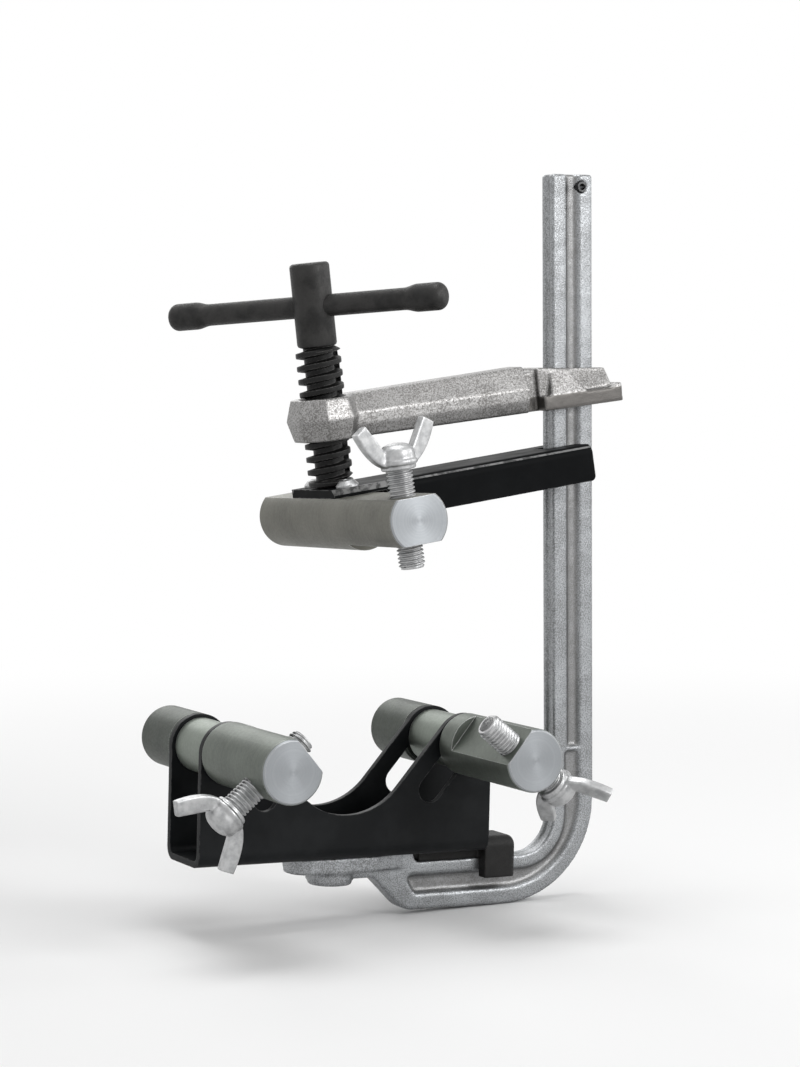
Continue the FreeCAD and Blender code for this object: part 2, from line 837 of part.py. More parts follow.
def slot_outline(dims, side, centre):
    """Return the outline of one slanting slot, from the bar's outer place inwards and down."""
    half = dims.slot_width / 2
    across = cosine(dims.slot_angle)
    down = sine(dims.slot_angle)
    start = -half
    finish = dims.slot_run + half

    def along(run, offset):
        return (
            side * (dims.bar_half_spread - run * across - offset * down),
            centre - run * down + offset * across,
            half * ROUND_END,
        )

    return [along(start, -half), along(start, half), along(finish, half), along(finish, -half)]


def make_saddle(document, dims, layout):
    """Build the block that straddles the fixed arm and carries the cradle's right end."""
    piece = Piece(document, "saddle_block", layout.cradle)
    left = layout.cradle_end + dims.saddle_standoff
    right = left + dims.saddle_length
    half = dims.saddle_width / 2
    low = layout.arm_top - dims.saddle_leg
    high = layout.cradle_bottom + dims.saddle_rise
    corner = dims.saddle_corner_radius
    piece.pad("YZ", left, right, [
        (-half, low),
        (half, low),
        (half, high, corner),
        (-half, high, corner),
    ])
    end = right.value
    top = high.value
    piece.soften(
        "Fillet", dims.saddle_end_radius,
        lambda edge: near(edge.CenterOfMass.x, end) and near(edge.CenterOfMass.z, top),
    )
    tongue_half = dims.saddle_tongue_width / 2
    tongue_right = left + dims.saddle_tongue_inset
    piece.pad(
        "XY", layout.arm_top, layout.cradle_bottom,
        box(dims.saddle_tongue_reach, tongue_right, -tongue_half, tongue_half),
    )
    gap = dims.rail_thickness / 2 + dims.saddle_gap_clearance
    past = dims.cut_margin
    piece.pocket("YZ", left - past, right + past, box(-gap, gap, low - past, layout.arm_top))
    piece.pocket(
        "XY", layout.arm_top, layout.cradle_bottom,
        (dims.saddle_screw_place, 0, dims.saddle_screw_diameter / 2),
    )
    return piece.body


def make_cap_screw(document, label, frame, sizes):
    """Build a cap screw that points down from its frame's origin, under its head."""
    shank, length, head, height = sizes
    piece = Piece(document, label, frame)
    chamfer = shank * CAP_CHAMFER
    piece.turn("Revolution", "XZ", [
        (0, -length),
        (shank / 2 - chamfer, -length),
        (shank / 2, -length + chamfer),
        (shank / 2, 0),
        (head / 2, 0),
        (head / 2, height - chamfer),
        (head / 2 - chamfer, height),
        (0, height),
    ])
    piece.pocket("XY", height * CAP_SOCKET_FLOOR, height, hexagon(head * CAP_SOCKET))
    return piece.body


def hexagon(half_width):
    """Return the corners of a hexagon with this distance from its centre to a flat."""
    corner = half_width / math.cos(math.radians(30))
    return [
        (corner * math.cos(math.radians(angle)), corner * math.sin(math.radians(angle)))
        for angle in range(0, 360, 60)
    ]


# ---------------------------------------------------------------- sliding arm, spindle, handle


def make_sliding_arm(document, dims, layout):
    """Build the forged arm: the threaded boss, the ridged beam and the sleeve on the rail."""
    piece = Piece(document, "sliding_arm", layout.jaw)
    middle = layout.arm_middle
    low = middle - dims.sliding_arm_height / 2
    ridge = middle + dims.sliding_arm_ridge
    band = ridge - dims.sliding_arm_band
    crest = low + dims.sliding_arm_height
    half = dims.sliding_arm_width / 2
    crest_half = dims.sliding_arm_crest_width / 2
    foot_half = dims.sliding_arm_foot_width / 2
    rail_left = layout.rail_in_jaw(dims, layout.rail_inner, middle)
    rail_right = layout.rail_in_jaw(dims, layout.rail_outer, middle)
    sleeve_left = rail_left - dims.sleeve_left_wall
    sleeve_right = rail_right + dims.sleeve_right_wall
    beam_end = sleeve_left - dims.neck_length
    past = dims.cut_margin

    # The beam, whose crest rises a little from the boss to the rail
    def beam_section(height):
        return [
            (-foot_half, low),
            (foot_half, low),
            (half, band),
            (half, ridge),
            (crest_half, height),
            (-crest_half, height),
            (-half, ridge),
            (-half, band),
        ]

    crest_end = crest + dims.sliding_arm_rise
    piece.loft("YZ", 0, beam_section(crest), beam_end, beam_section(crest_end))
    neck_half = dims.neck_width / 2
    neck_top = crest - dims.neck_drop
    neck_shape = box(-neck_half, neck_half, low, neck_top)
    piece.pad("YZ", beam_end - dims.neck_root, sleeve_left + past, neck_shape)

    # The eight-sided boss, drafted up and down from its parting line
    boss_half = dims.spindle_boss_height / 2
    octagon = octagon_outline(dims.spindle_boss_width / 2)
    piece.pad("XY", middle, middle + boss_half, octagon, draft=-dims.spindle_boss_draft)
    lower = piece.pad("XY", middle - boss_half, middle, octagon)
    lower.Reversed = True
    lower.Profile[0].setExpression("AttachmentOffset.Base.z", middle.text)
    lower.setExpression("TaperAngle", (-dims.spindle_boss_draft).text)

    # The sleeve: a wide foot whose right end turns up, and a narrow wall round the rail
    sleeve_half = dims.sleeve_width / 2
    band_top = low + dims.sleeve_band
    lip_top = band_top + dims.sleeve_lip_rise
    piece.pad("XZ", -sleeve_half, sleeve_half, [
        (sleeve_left, low),
        (sleeve_right, low),
        (sleeve_right, lip_top),
        (sleeve_right - dims.sleeve_lip_width, lip_top),
        (sleeve_right - dims.sleeve_lip_run, band_top, dims.sleeve_lip_radius),
        (sleeve_left, band_top),
    ])
    wall_half = dims.sleeve_wall_width / 2
    wall_right = rail_right + dims.sleeve_wall_reach
    wall_high = low + dims.sleeve_left_height
    wall_low = low + dims.sleeve_right_height
    tail = sleeve_right - dims.sleeve_tail_inset
    piece.pad("XZ", -wall_half, wall_half, [
        (sleeve_left, low),
        (tail, low),
        (tail, band_top),
        (wall_right, wall_low),
        (sleeve_left, wall_high),
    ])

    # A gusset on each side of the wall, sloping down to the foot's edge
    gusset_right = rail_left + dims.gusset_top_run
    gusset_foot_left = rail_left - dims.gusset_foot_lead
    gusset_foot_right = rail_left + dims.gusset_foot_run
    fall = (wall_high - wall_low) / (wall_right - sleeve_left)
    gusset_top = wall_high - fall * (gusset_right - sleeve_left)
    piece.pad("XZ", -sleeve_half, sleeve_half, [
        (gusset_foot_left, low),
        (gusset_foot_right, low),
        (gusset_foot_right, band_top),
        (gusset_right, gusset_top),
        (rail_left - dims.gusset_top_lead, gusset_top),
        (gusset_foot_left, band_top),
    ])
    for side in (-1, 1):
        piece.pocket("YZ", gusset_foot_left - past, gusset_foot_right + past, [
            (side * sleeve_half, band_top),
            (side * (sleeve_half + past), band_top),
            (side * (sleeve_half + past), gusset_top),
            (side * wall_half, gusset_top),
        ])
    play = dims.sleeve_slot_play / 2
    side_gap = dims.rail_thickness / 2 + dims.sleeve_side_clearance
    piece.pocket(
        "XY", low - past, crest_end + past,
        box(rail_left - play, rail_right + play, -side_gap, side_gap),
    )
    bore = dims.thread_diameter / 2 + dims.thread_clearance
    piece.pocket("XY", middle - boss_half - past, middle + boss_half + past, (0, 0, bore))
    return piece.body


def octagon_outline(half_width):
    """Return the corners of an octagon with flats to the front, back, left and right."""
    short = half_width * math.tan(math.radians(22.5))
    return [
        (half_width, -short), (half_width, short), (short, half_width), (-short, half_width),
        (-half_width, short), (-half_width, -short), (-short, -half_width),
        (short, -half_width),
    ]


def make_spindle(document, dims, layout):
    """Build the spindle: neck and collar seat, coarse thread and the head for the handle."""
    piece = Piece(document, "spindle", layout.jaw)
    shoulder = layout.spindle_shoulder
    neck = dims.spindle_neck_diameter / 2
    thread = dims.thread_diameter / 2
    core = dims.thread_root_diameter / 2
    head = dims.spindle_head_diameter / 2
    chamfer = dims.spindle_head_chamfer
    seat = shoulder + dims.spindle_seat_height
    thread_top = shoulder + dims.thread_length
    head_top = thread_top + dims.spindle_head_length
    neck_bottom = layout.collar_top - dims.collar_thickness
    piece.turn("Revolution", "XZ", [
        (0, neck_bottom),
        (neck, neck_bottom),
        (neck, shoulder),
        (thread, shoulder),
        (thread, thread_top),
        (head - chamfer, thread_top),
        (head, thread_top + chamfer),
        (head, head_top - chamfer),
        (head - chamfer, head_top),
        (0, head_top),
    ])
    depth = thread - core
    slope = depth * tangent(dims.thread_flank_angle)
    gap = dims.thread_pitch - dims.thread_crest
    past = dims.cut_margin
    spread = past * tangent(dims.thread_flank_angle)
    groove = piece.turn("Groove", "XZ", [
        (core, seat + slope),
        (thread + past, seat - spread),
        (thread + past, seat + gap + spread),
        (core, seat + gap - slope),
    ])
    turns = (dims.thread_length - dims.spindle_seat_height) / dims.thread_pitch
    whole_turns = Size(math.floor(turns.value), f"floor({turns.text})")
    piece.repeat(groove, "Z", dims.thread_pitch, whole_turns)
    handle_bore = dims.handle_diameter / 2 + dims.screw_clearance
    document.recompute()
    tool = document.addObject("Part::Cylinder", "handle_bore")
    tool.setExpression("Radius", handle_bore.text)
    tool.setExpression("Height", (dims.spindle_head_diameter * 2).text)
    handle_frame(dims, layout).then(
        Frame(move=(-dims.spindle_head_diameter, 0, 0), angle=90)
    ).hold(tool)
    drilled = document.addObject("Part::Cut", "spindle_drilled")
    drilled.Base = piece.body
    drilled.Tool = tool
    return drilled


def handle_frame(dims, layout):
    """Return the frame whose X axis is the handle, through the spindle's head."""
    height = layout.spindle_shoulder + dims.thread_length + dims.handle_height
    return layout.jaw.then(Frame(move=(0, 0, height), axis=(0, 0, 1), angle=-dims.handle_yaw))


def make_handle(document, dims, layout):
    """Build the tommy bar, with ends that are swelled so that it stays in the head."""
    slid = handle_frame(dims, layout).then(Frame(move=(-dims.handle_shift, 0, 0), angle=90))
    piece = Piece(document, "handle_bar", slid)
    bar = dims.handle_diameter / 2
    knob = dims.handle_end_diameter / 2
    half = dims.handle_length / 2
    swell = half - dims.handle_end_length
    blend = dims.handle_flare_length
    rounding = dims.handle_end_rounding
    piece.turn("Revolution", "XZ", [
        (0, -half),
        (knob - rounding, -half),
        (knob, -half + rounding),
        (knob, -swell - blend),
        (bar, -swell),
        (bar, swell),
        (knob, swell + blend),
        (knob, half - rounding),
        (knob - rounding, half),
        (0, half),
    ])
    return piece.body


def make_collar(document, dims, layout):
    """Build the collar that holds the spindle's neck under the channel's plate."""
    piece = Piece(document, "spindle_collar", layout.jaw)
    top = layout.collar_top
    outer = dims.collar_diameter / 2
    inner = dims.spindle_neck_diameter / 2
    piece.pad("XY", top - dims.collar_thickness, top, (0, 0, outer), (0, 0, inner))
    return piece.body


# ---------------------------------------------------------------- upper jaw


def make_channel(document, dims, layout):
    """Build the folded guide channel, its end plate on the bar and its fork on the rail."""
    piece = Piece(document, "guide_channel", layout.pressure)
    past = dims.cut_margin
    half = dims.channel_width / 2
    inner = half - dims.channel_plate
    top = layout.plate_top
    under = layout.flat_height
    low = top - dims.channel_depth
    start = dims.channel_flange_start
    end = dims.channel_right_reach
    bend = dims.channel_bend_radius
    piece.pad("YZ", start, end, [
        (-half, low),
        (-inner, low),
        (-inner, under, bend - dims.channel_plate),
        (inner, under, bend - dims.channel_plate),
        (inner, low),
        (half, low),
        (half, top, bend),
        (-half, top, bend),
    ])
    piece.pad("XY", under, top, box(-dims.channel_left_reach, start + past, -half, half))
    slot_half = dims.rail_thickness / 2 + dims.channel_rail_clearance
    piece.pocket(
        "XY", under - past, top + past,
        box(end - dims.channel_rail_slot_length, end + past, -slot_half, slot_half),
    )
    neck_bore = dims.spindle_neck_diameter / 2 + dims.neck_clearance
    screw_radius = dims.guide_screw_diameter / 2
    piece.pocket(
        "XY", under - past, top + past,
        (0, 0, neck_bore),
        (0, -dims.guide_screw_spread, screw_radius),
        (0, dims.guide_screw_spread, screw_radius),
    )
    corner = end.value
    piece.soften(
        "Fillet", dims.channel_corner_radius,
        lambda edge: near(edge.CenterOfMass.x, corner) and near(edge.CenterOfMass.z, low.value)
        and near(edge.BoundBox.XMin, corner),
    )
    return piece.body


def make_guide_screws(document, dims, layout):
    """Build the two button screws that hold the channel's plate on the upper bar."""
    screws = []
    for side, name in ((-1, "near"), (1, "far")):
        place = layout.pressure.then(
            Frame(move=(0, side * dims.guide_screw_spread, layout.plate_top))
        )
        piece = Piece(document, f"guide_screw_{name}", place)
        shank = dims.guide_screw_diameter / 2
        head = dims.guide_screw_head_diameter / 2
        height = dims.guide_screw_head_height
        depth = dims.channel_plate + dims.guide_screw_depth
        chamfer = dims.guide_screw_chamfer
        crown = head * BUTTON_CROWN
        piece.turn("Revolution", "XZ", [
            (0, -depth),
            (shank - chamfer, -depth),
            (shank, -depth + chamfer),
            (shank, 0),
            (head, 0),
            (head, height * BUTTON_RIM),
            (crown, height, head - crown),
            (0, height),
        ])
        floor = height * BUTTON_SOCKET_FLOOR
        piece.pocket("XY", floor, height + dims.cut_margin, hexagon(shank * BUTTON_SOCKET))
        screws.append(piece.body)
    group = document.addObject("Part::Compound", "guide_screws")
    group.Links = screws
    return group


def make_upper_bar(document, dims, layout):
    """Build the upper pressure bar: a turned bar, flat on top and stepped underneath."""
    piece = Piece(document, "upper_bar", layout.pressure)
    past = dims.cut_margin
    near_end = -dims.upper_bar_near_reach
    far_end = dims.upper_bar_far_reach
    turn_bar(piece, dims, layout, near_end, far_end)
    flat = layout.flat_height
    wide = dims.bar_diameter
    piece.pocket(
        "XZ", near_end - past, far_end + past, box(-wide / 2, wide / 2, flat, wide)
    )
    piece.pocket(
        "XZ", near_end - past, -dims.upper_bar_full_reach,
        box(-wide / 2, wide / 2, -wide, -flat),
    )
    piece.pocket("XY", -wide, wide, (0, -dims.upper_wing_place, layout.stud_bore))
    screw = dims.guide_screw_diameter / 2
    piece.pocket(
        "XY", flat - dims.guide_screw_depth - past, flat + past,
        (0, -dims.guide_screw_spread, screw),
        (0, dims.guide_screw_spread, screw),
    )
    pocket_depth = dims.collar_thickness + 2 * dims.collar_play
    pocket_radius = dims.collar_diameter / 2 + dims.collar_pocket_clearance
    piece.pocket("XY", flat - pocket_depth, flat + past, (0, 0, pocket_radius))
    return piece.body


def turn_bar(piece, dims, layout, near_end, far_end, radius=None):
    """Turn a solid round bar along Y with chamfered ends."""
    radius = radius or layout.bar_radius
    chamfer = dims.bar_edge_chamfer
    piece.turn("Revolution", "XY", [
        (0, near_end),
        (radius - chamfer, near_end),
        (radius, near_end + chamfer),
        (radius, far_end - chamfer),
        (radius - chamfer, far_end),
        (0, far_end),
    ])


# ---------------------------------------------------------------- lower bars


def bar_frame(dims, layout, side):
    """Return the frame on a lower bar's axis, on one side of the cradle."""
    return layout.cradle.then(Frame(move=(side * dims.bar_half_spread, 0, -layout.bar_drop)))


def aimed_frame(dims, layout, side, aim):
    """Return a lower bar's frame turned so that its Z axis is its wing screw's outward axis."""
    turn = side * (90 + aim)
    return bar_frame(dims, layout, side).then(Frame(angle=turn))


def make_lower_set(document, dims, layout, name, side, aim, wing_place):
    """Build the rear head, spacer, clamp bolt and front bar of one side."""
    place = bar_frame(dims, layout, side)
    past = dims.cut_margin
    face = layout.cradle_face
    clear_bore = dims.clamp_bolt_diameter / 2 + dims.screw_clearance
    tight_bore = dims.clamp_bolt_diameter / 2
    seat = dims.flange_clearance

    rear = Piece(document, f"{name}_rear_head", place)
    rear_near = face + seat
    rear_far = face + dims.rear_head_length
    turn_bar(rear, dims, layout, rear_near, rear_far, dims.rear_head_diameter / 2)
    head_seat = rear_far - dims.clamp_bolt_head_height
    rear.pocket("XZ", rear_near - past, rear_far, (0, 0, tight_bore))
    rear.pocket("XZ", head_seat, rear_far + past, (0, 0, dims.clamp_bolt_head_diameter / 2))

    spacer = Piece(document, f"{name}_spacer", place)
    spacer_reach = layout.cradle_inner_face - seat
    spacer.pad(
        "XZ", -spacer_reach, spacer_reach, (0, 0, dims.spacer_diameter / 2), (0, 0, tight_bore)
    )

    bolt = Piece(document, f"{name}_clamp_bolt", place)
    shank = dims.clamp_bolt_diameter / 2
    head = dims.clamp_bolt_head_diameter / 2
    tip = -face - dims.clamp_bolt_engagement
    chamfer = dims.stud_tip_chamfer
    head_chamfer = dims.clamp_bolt_head_chamfer
    bolt.turn("Revolution", "XY", [
        (0, tip),
        (shank - chamfer, tip),
        (shank, tip + chamfer),
        (shank, head_seat),
        (head, head_seat),
        (head, rear_far - head_chamfer),
        (head - head_chamfer, rear_far),
        (0, rear_far),
    ])
    bolt.pocket(
        "XZ", rear_far - dims.clamp_bolt_head_height / 2, rear_far + past,
        hexagon(dims.clamp_bolt_socket / 2),
    )

    front = Piece(document, f"{name}_front_bar", aimed_frame(dims, layout, side, aim))
    front_far = -face - seat
    turn_bar(front, dims, layout, layout.front_bar_end, front_far)
    step = -face - dims.front_bar_full_length
    wide = dims.bar_diameter
    front.pocket(
        "XZ", layout.front_bar_end - past, step,
        box(-wide / 2, wide / 2, -wide, -layout.flat_height),
    )
    front.pocket("XZ", tip - dims.clamp_bolt_run_out, front_far + past, (0, 0, clear_bore))
    front.pocket("XY", -wide, wide, (0, -wing_place, layout.stud_bore))
    return [rear.body, spacer.body, bolt.body, front.body]


# ---------------------------------------------------------------- wing screws


def make_wing_screw(document, dims, layout, name, axis_frame, place, yaw, advance):
    """Build one wing screw: a threaded stud and the forged wing on its outer end."""
    hub_bottom = dims.hub_stand - advance
    screw_frame = axis_frame.then(Frame(move=(0, -place, 0), axis=(0, 0, 1), angle=yaw))
    stud = Piece(document, f"{name}_wing_stud", screw_frame)
    radius = layout.stud_radius
    chamfer = dims.stud_tip_chamfer
    tip = -dims.stud_reach - advance
    stud_top = hub_bottom + dims.hub_socket_depth
    stud.turn("Revolution", "XZ", [
        (0, tip),
        (radius - chamfer, tip),
        (radius, tip + chamfer),
        (radius, stud_top - chamfer),
        (radius - chamfer, stud_top),
        (0, stud_top),
    ])

    wing = Piece(document, f"{name}_wing_head", screw_frame)
    hub = dims.hub_diameter / 2
    collar = dims.hub_collar_diameter / 2
    hub_top = hub_bottom + dims.hub_height
    collar_top = hub_bottom + dims.hub_collar_height
    wing.turn("Revolution", "XZ", [
        (0, hub_bottom),
        (collar, hub_bottom),
        (collar, collar_top - dims.hub_collar_chamfer),
        (hub, collar_top),
        (hub, hub_top, dims.hub_crown_radius),
        (0, hub_top),
    ])
    half = dims.wing_thickness / 2
    for side in (-1, 1):
        wing.pad("XZ", -half, half, wing_outline(dims, side, hub_bottom))
    wing.pocket(
        "XY", hub_bottom - dims.cut_margin, stud_top + dims.seat_clearance,
        (0, 0, layout.stud_bore),
    )
    return [stud.body, wing.body]


def wing_outline(dims, side, hub_bottom):
    """Return the outline of one blade, bent upwards from the hub to its blunt tip."""
    middle = hub_bottom + dims.hub_height / 2
    return [
        (side * dims.wing_foot_out, middle - dims.wing_foot_drop),
        (side * dims.wing_elbow_out, middle + dims.wing_elbow_rise, dims.wing_elbow_radius),
        (side * dims.wing_tip_out, middle + dims.wing_tip_rise, dims.wing_tip_radius),
        (side * dims.wing_crown_out, middle + dims.wing_crown_rise, dims.wing_crown_radius),
        (side * dims.wing_fork_out, middle + dims.wing_fork_rise),
    ]


# ---------------------------------------------------------------- the whole clamp


def build_clamp(document, dims):
    """Build every piece and return them by node name."""
    layout = Layout(dims)
    pieces = {}

    pieces["rail_and_fixed_arm"] = make_rail(document, dims, layout)
    pieces["rail_stop_pin"] = make_stop_pin(document, dims, layout)
    pieces["cradle"] = make_cradle(document, dims, layout)
    pieces["saddle_block"] = make_saddle(document, dims, layout)
    saddle_screw_sizes = (
        dims.saddle_screw_diameter,
        dims.cradle_plate + dims.arm_gap - dims.saddle_screw_recess,
        dims.saddle_screw_head_diameter,
        dims.saddle_screw_head_height,
    )
    cradle_screw_sizes = (
        dims.cradle_screw_diameter,
        dims.cradle_plate + dims.boss_height - dims.cradle_screw_recess,
        dims.cradle_screw_head_diameter,
        dims.cradle_screw_head_height,
    )
    for label, across, sizes in (
        ("saddle_screw", dims.saddle_screw_place, saddle_screw_sizes),
        ("cradle_screw", 0, cradle_screw_sizes),
    ):
        place = layout.cradle.then(Frame(move=(across, 0, layout.web_top)))
        pieces[label] = make_cap_screw(document, label, place, sizes)

    pieces["sliding_arm"] = make_sliding_arm(document, dims, layout)
    pieces["spindle"] = make_spindle(document, dims, layout)
    pieces["spindle_collar"] = make_collar(document, dims, layout)
    pieces["handle_bar"] = make_handle(document, dims, layout)
    pieces["guide_channel"] = make_channel(document, dims, layout)
    pieces["guide_screws"] = make_guide_screws(document, dims, layout)
    pieces["upper_bar"] = make_upper_bar(document, dims, layout)

    left_frame = aimed_frame(dims, layout, -1, dims.left_bar_aim)
    right_frame = aimed_frame(dims, layout, 1, dims.right_bar_aim)
    for name, side, aim, place in (
        ("left", -1, dims.left_bar_aim, dims.left_wing_place),
        ("right", 1, dims.right_bar_aim, dims.right_wing_place),
    ):
        for body in make_lower_set(document, dims, layout, name, side, aim, place):
            pieces[body.Label] = body
    for name, frame, place, yaw, advance in (
        ("upper", layout.pressure, dims.upper_wing_place, dims.upper_wing_yaw,
         dims.upper_screw_advance),
        ("left", left_frame, dims.left_wing_place, dims.left_wing_yaw,
         dims.left_screw_advance),
        ("right", right_frame, dims.right_wing_place, dims.right_wing_yaw,
         dims.right_screw_advance),
    ):
        for body in make_wing_screw(document, dims, layout, name, frame, place, yaw, advance):
            pieces[body.Label] = body
    return pieces


def check_document(document, pieces):
    """Stop if any object failed or any piece is empty or broken."""
    document.recompute()
    for item in document.Objects:
        if "Invalid" in item.State or "Error" in item.State:
            raise RuntimeError(f"{item.Label} failed: {item.State}")
    for label, item in pieces.items():
        shape = item.Shape
        if shape.isNull() or not shape.isValid() or not shape.Solids:
            raise RuntimeError(f"{label} has no valid shape")


def main():
    """Build the document, check it and write each piece to its own file."""
    document = FreeCAD.newDocument("pipe_clamp")
    dims = Dimensions(document)
    pieces = build_clamp(document, dims)
    check_document(document, pieces)
    os.makedirs(PARTS_FOLDER, exist_ok=True)
    for label, item in pieces.items():
        item.Label = label
        item.Shape.exportStep(os.path.join(PARTS_FOLDER, f"{label}.step"))
        print(f"{label}: {len(item.Shape.Solids)} solid, {item.Shape.Volume / 1000:.2f} cm3")


main()
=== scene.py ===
"""Looks of a three-bar pipe clamp on a sliding-arm clamp frame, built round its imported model."""
import logging
import math
from dataclasses import dataclass
from enum import Enum

import bmesh
import bpy
import numpy as np
from mathutils import Matrix, Vector


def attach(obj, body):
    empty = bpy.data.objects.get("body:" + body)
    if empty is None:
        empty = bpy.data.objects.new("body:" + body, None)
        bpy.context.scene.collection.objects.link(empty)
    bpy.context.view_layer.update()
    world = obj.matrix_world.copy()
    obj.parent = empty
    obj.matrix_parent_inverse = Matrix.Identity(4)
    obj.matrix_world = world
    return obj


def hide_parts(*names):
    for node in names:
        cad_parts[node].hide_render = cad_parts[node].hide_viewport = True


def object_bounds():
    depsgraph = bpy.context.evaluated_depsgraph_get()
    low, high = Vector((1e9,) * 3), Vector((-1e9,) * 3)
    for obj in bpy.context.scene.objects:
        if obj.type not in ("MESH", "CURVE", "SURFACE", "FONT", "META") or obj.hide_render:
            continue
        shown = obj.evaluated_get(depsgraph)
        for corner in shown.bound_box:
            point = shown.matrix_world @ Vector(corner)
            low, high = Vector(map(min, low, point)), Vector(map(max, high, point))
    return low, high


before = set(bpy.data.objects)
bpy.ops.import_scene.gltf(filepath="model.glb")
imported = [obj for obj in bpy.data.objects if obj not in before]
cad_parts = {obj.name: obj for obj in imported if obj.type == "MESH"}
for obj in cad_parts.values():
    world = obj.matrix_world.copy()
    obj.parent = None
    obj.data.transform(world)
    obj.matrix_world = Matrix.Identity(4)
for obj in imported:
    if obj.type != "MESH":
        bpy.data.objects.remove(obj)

CAD_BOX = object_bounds()
MM = 0.001
AXIS_X, AXIS_Y, AXIS_Z = 0, 1, 2
FLOOR_GAP = 0.0004
LOG = logging.getLogger("pipe_clamp")


# ------------------------------------------------------------------ places


def about_x(degrees: float) -> np.ndarray:
    """Return the rotation about X: y = (0, cos, sin), z = (0, -sin, cos)."""
    c, s = math.cos(math.radians(degrees)), math.sin(math.radians(degrees))
    return np.array([[1, 0, 0], [0, c, -s], [0, s, c]])


def about_y(degrees: float) -> np.ndarray:
    """Return the rotation about Y: x = (cos, 0, -sin), z = (sin, 0, cos)."""
    c, s = math.cos(math.radians(degrees)), math.sin(math.radians(degrees))
    return np.array([[c, 0, s], [0, 1, 0], [-s, 0, c]])


def about_z(degrees: float) -> np.ndarray:
    """Return the rotation about Z: x = (cos, sin, 0), y = (-sin, cos, 0)."""
    c, s = math.cos(math.radians(degrees)), math.sin(math.radians(degrees))
    return np.array([[c, -s, 0], [s, c, 0], [0, 0, 1]])


@dataclass(frozen=True)
class Place:
    """A moved and turned frame in millimetres."""

    origin: np.ndarray
    turn: np.ndarray

    def within(self, move: tuple[float, float, float], turn: np.ndarray) -> "Place":
        """Return the frame that is moved and turned inside this one.

        Args:
            move: The inner origin, in this frame.
            turn: The inner rotation, in this frame.

        Returns:
            The inner frame, in the model's frame.
        """
        return Place(self.origin + self.turn @ np.array(move), self.turn @ turn)

    def world(self, points: np.ndarray) -> np.ndarray:
        """Return points of this frame as metres in the model's frame."""
        return (points @ self.turn.T + self.origin) * MM

    def axis(self, column: int) -> tuple[float, ...]:
        """Return one of the frame's axes in the model's frame."""
        return tuple(float(value) for value in self.turn[:, column])

    def metres(self) -> tuple[float, ...]:
        """Return the frame's origin in metres."""
        return tuple(float(value) for value in self.origin * MM)


JAW = Place(np.array([1.0, 0.0, 69.5]), about_y(-6.0))
PRESSURE = JAW.within((0, 0, 14.3), about_y(-1.5) @ about_x(-2.0)).within(
    (0, 0, -12.5), np.eye(3))
CRADLE = Place(np.zeros(3), about_y(2.0))


class Side(Enum):
    """The two lower bars, by the sign of their place across the cradle."""

    LEFT = -1
    RIGHT = 1

    @property
    def word(self) -> str:
        """The side's word in node names."""
        return self.name.lower()

    @property
    def bar(self) -> Place:
        """The frame on this side's bar axis."""
        return CRADLE.within((self.value * 60.6, 0.0, -34.03), np.eye(3))


# ------------------------------------------------------------------ meshes


def lathe(profile: np.ndarray, steps: int = 96) -> np.ndarray:
    """Return rings of a turned shape: point = (r cos a, r sin a, z).

    Args:
        profile: Rows of radius and height, from one end to the other.
        steps: Points round each ring.

    Returns:
        An array of rings by steps by 3.
    """
    angle = np.linspace(0, 2 * math.pi, steps, endpoint=False)
    radius = profile[:, :1]
    height = np.repeat(profile[:, 1:2], steps, axis=1)
    return np.stack([radius * np.cos(angle), radius * np.sin(angle), height], axis=-1)


def solid(rings: np.ndarray) -> tuple[np.ndarray, list[tuple[int, ...]]]:
    """Return the points and faces of a closed skin over rings, with both ends capped.

    Args:
        rings: An array of rings by points by 3.

    Returns:
        The points as rows, and the faces as point numbers.
    """
    count, around = rings.shape[:2]
    number = np.arange(count * around).reshape(count, around)
    beside = np.roll(number, -1, axis=1)
    quads = np.stack([number[:-1], beside[:-1], beside[1:], number[1:]], axis=-1).reshape(-1, 4)
    faces = [tuple(face) for face in quads.tolist()]
    faces.append(tuple(number[0][::-1].tolist()))
    faces.append(tuple(number[-1].tolist()))
    return rings.reshape(-1, 3), faces


def build(name: str, parts: list[np.ndarray], place: Place, sharp: float = 35.0
          ) -> bpy.types.Object:
    """Make one object of closed skins.

    Args:
        name: The object's name.
        parts: Rings of each skin, in the place's frame, in millimetres.
        place: The frame that the rings are stated in.
        sharp: The angle in degrees above which an edge stays sharp.

    Returns:
        The new object, at the origin, with its place in its mesh.
    """
    points: list[np.ndarray] = []
    faces: list[tuple[int, ...]] = []
    start = 0
    for rings in parts:
        rows, around = solid(rings)
        points.append(rows)
        faces.extend(tuple(corner + start for corner in face) for face in around)
        start += len(rows)
    mesh = bpy.data.meshes.new(name)
    mesh.from_pydata(place.world(np.concatenate(points)).tolist(), [], faces)
    tidy(mesh, sharp)
    piece = bpy.data.objects.new(name, mesh)
    bpy.context.scene.collection.objects.link(piece)
    return piece


def tidy(mesh: bpy.types.Mesh, sharp: float) -> None:
    """Merge doubled points, turn the faces outwards and smooth all but the sharp edges.

    Args:
        mesh: The mesh to change.
        sharp: The angle in degrees above which an edge stays sharp.
    """
    work = bmesh.new()
    work.from_mesh(mesh)
    bmesh.ops.remove_doubles(work, verts=work.verts, dist=2e-6)
    bmesh.ops.recalc_face_normals(work, faces=work.faces)
    work.to_mesh(mesh)
    work.free()
    mesh.shade_smooth()
    mesh.set_sharp_from_angle(angle=math.radians(sharp))


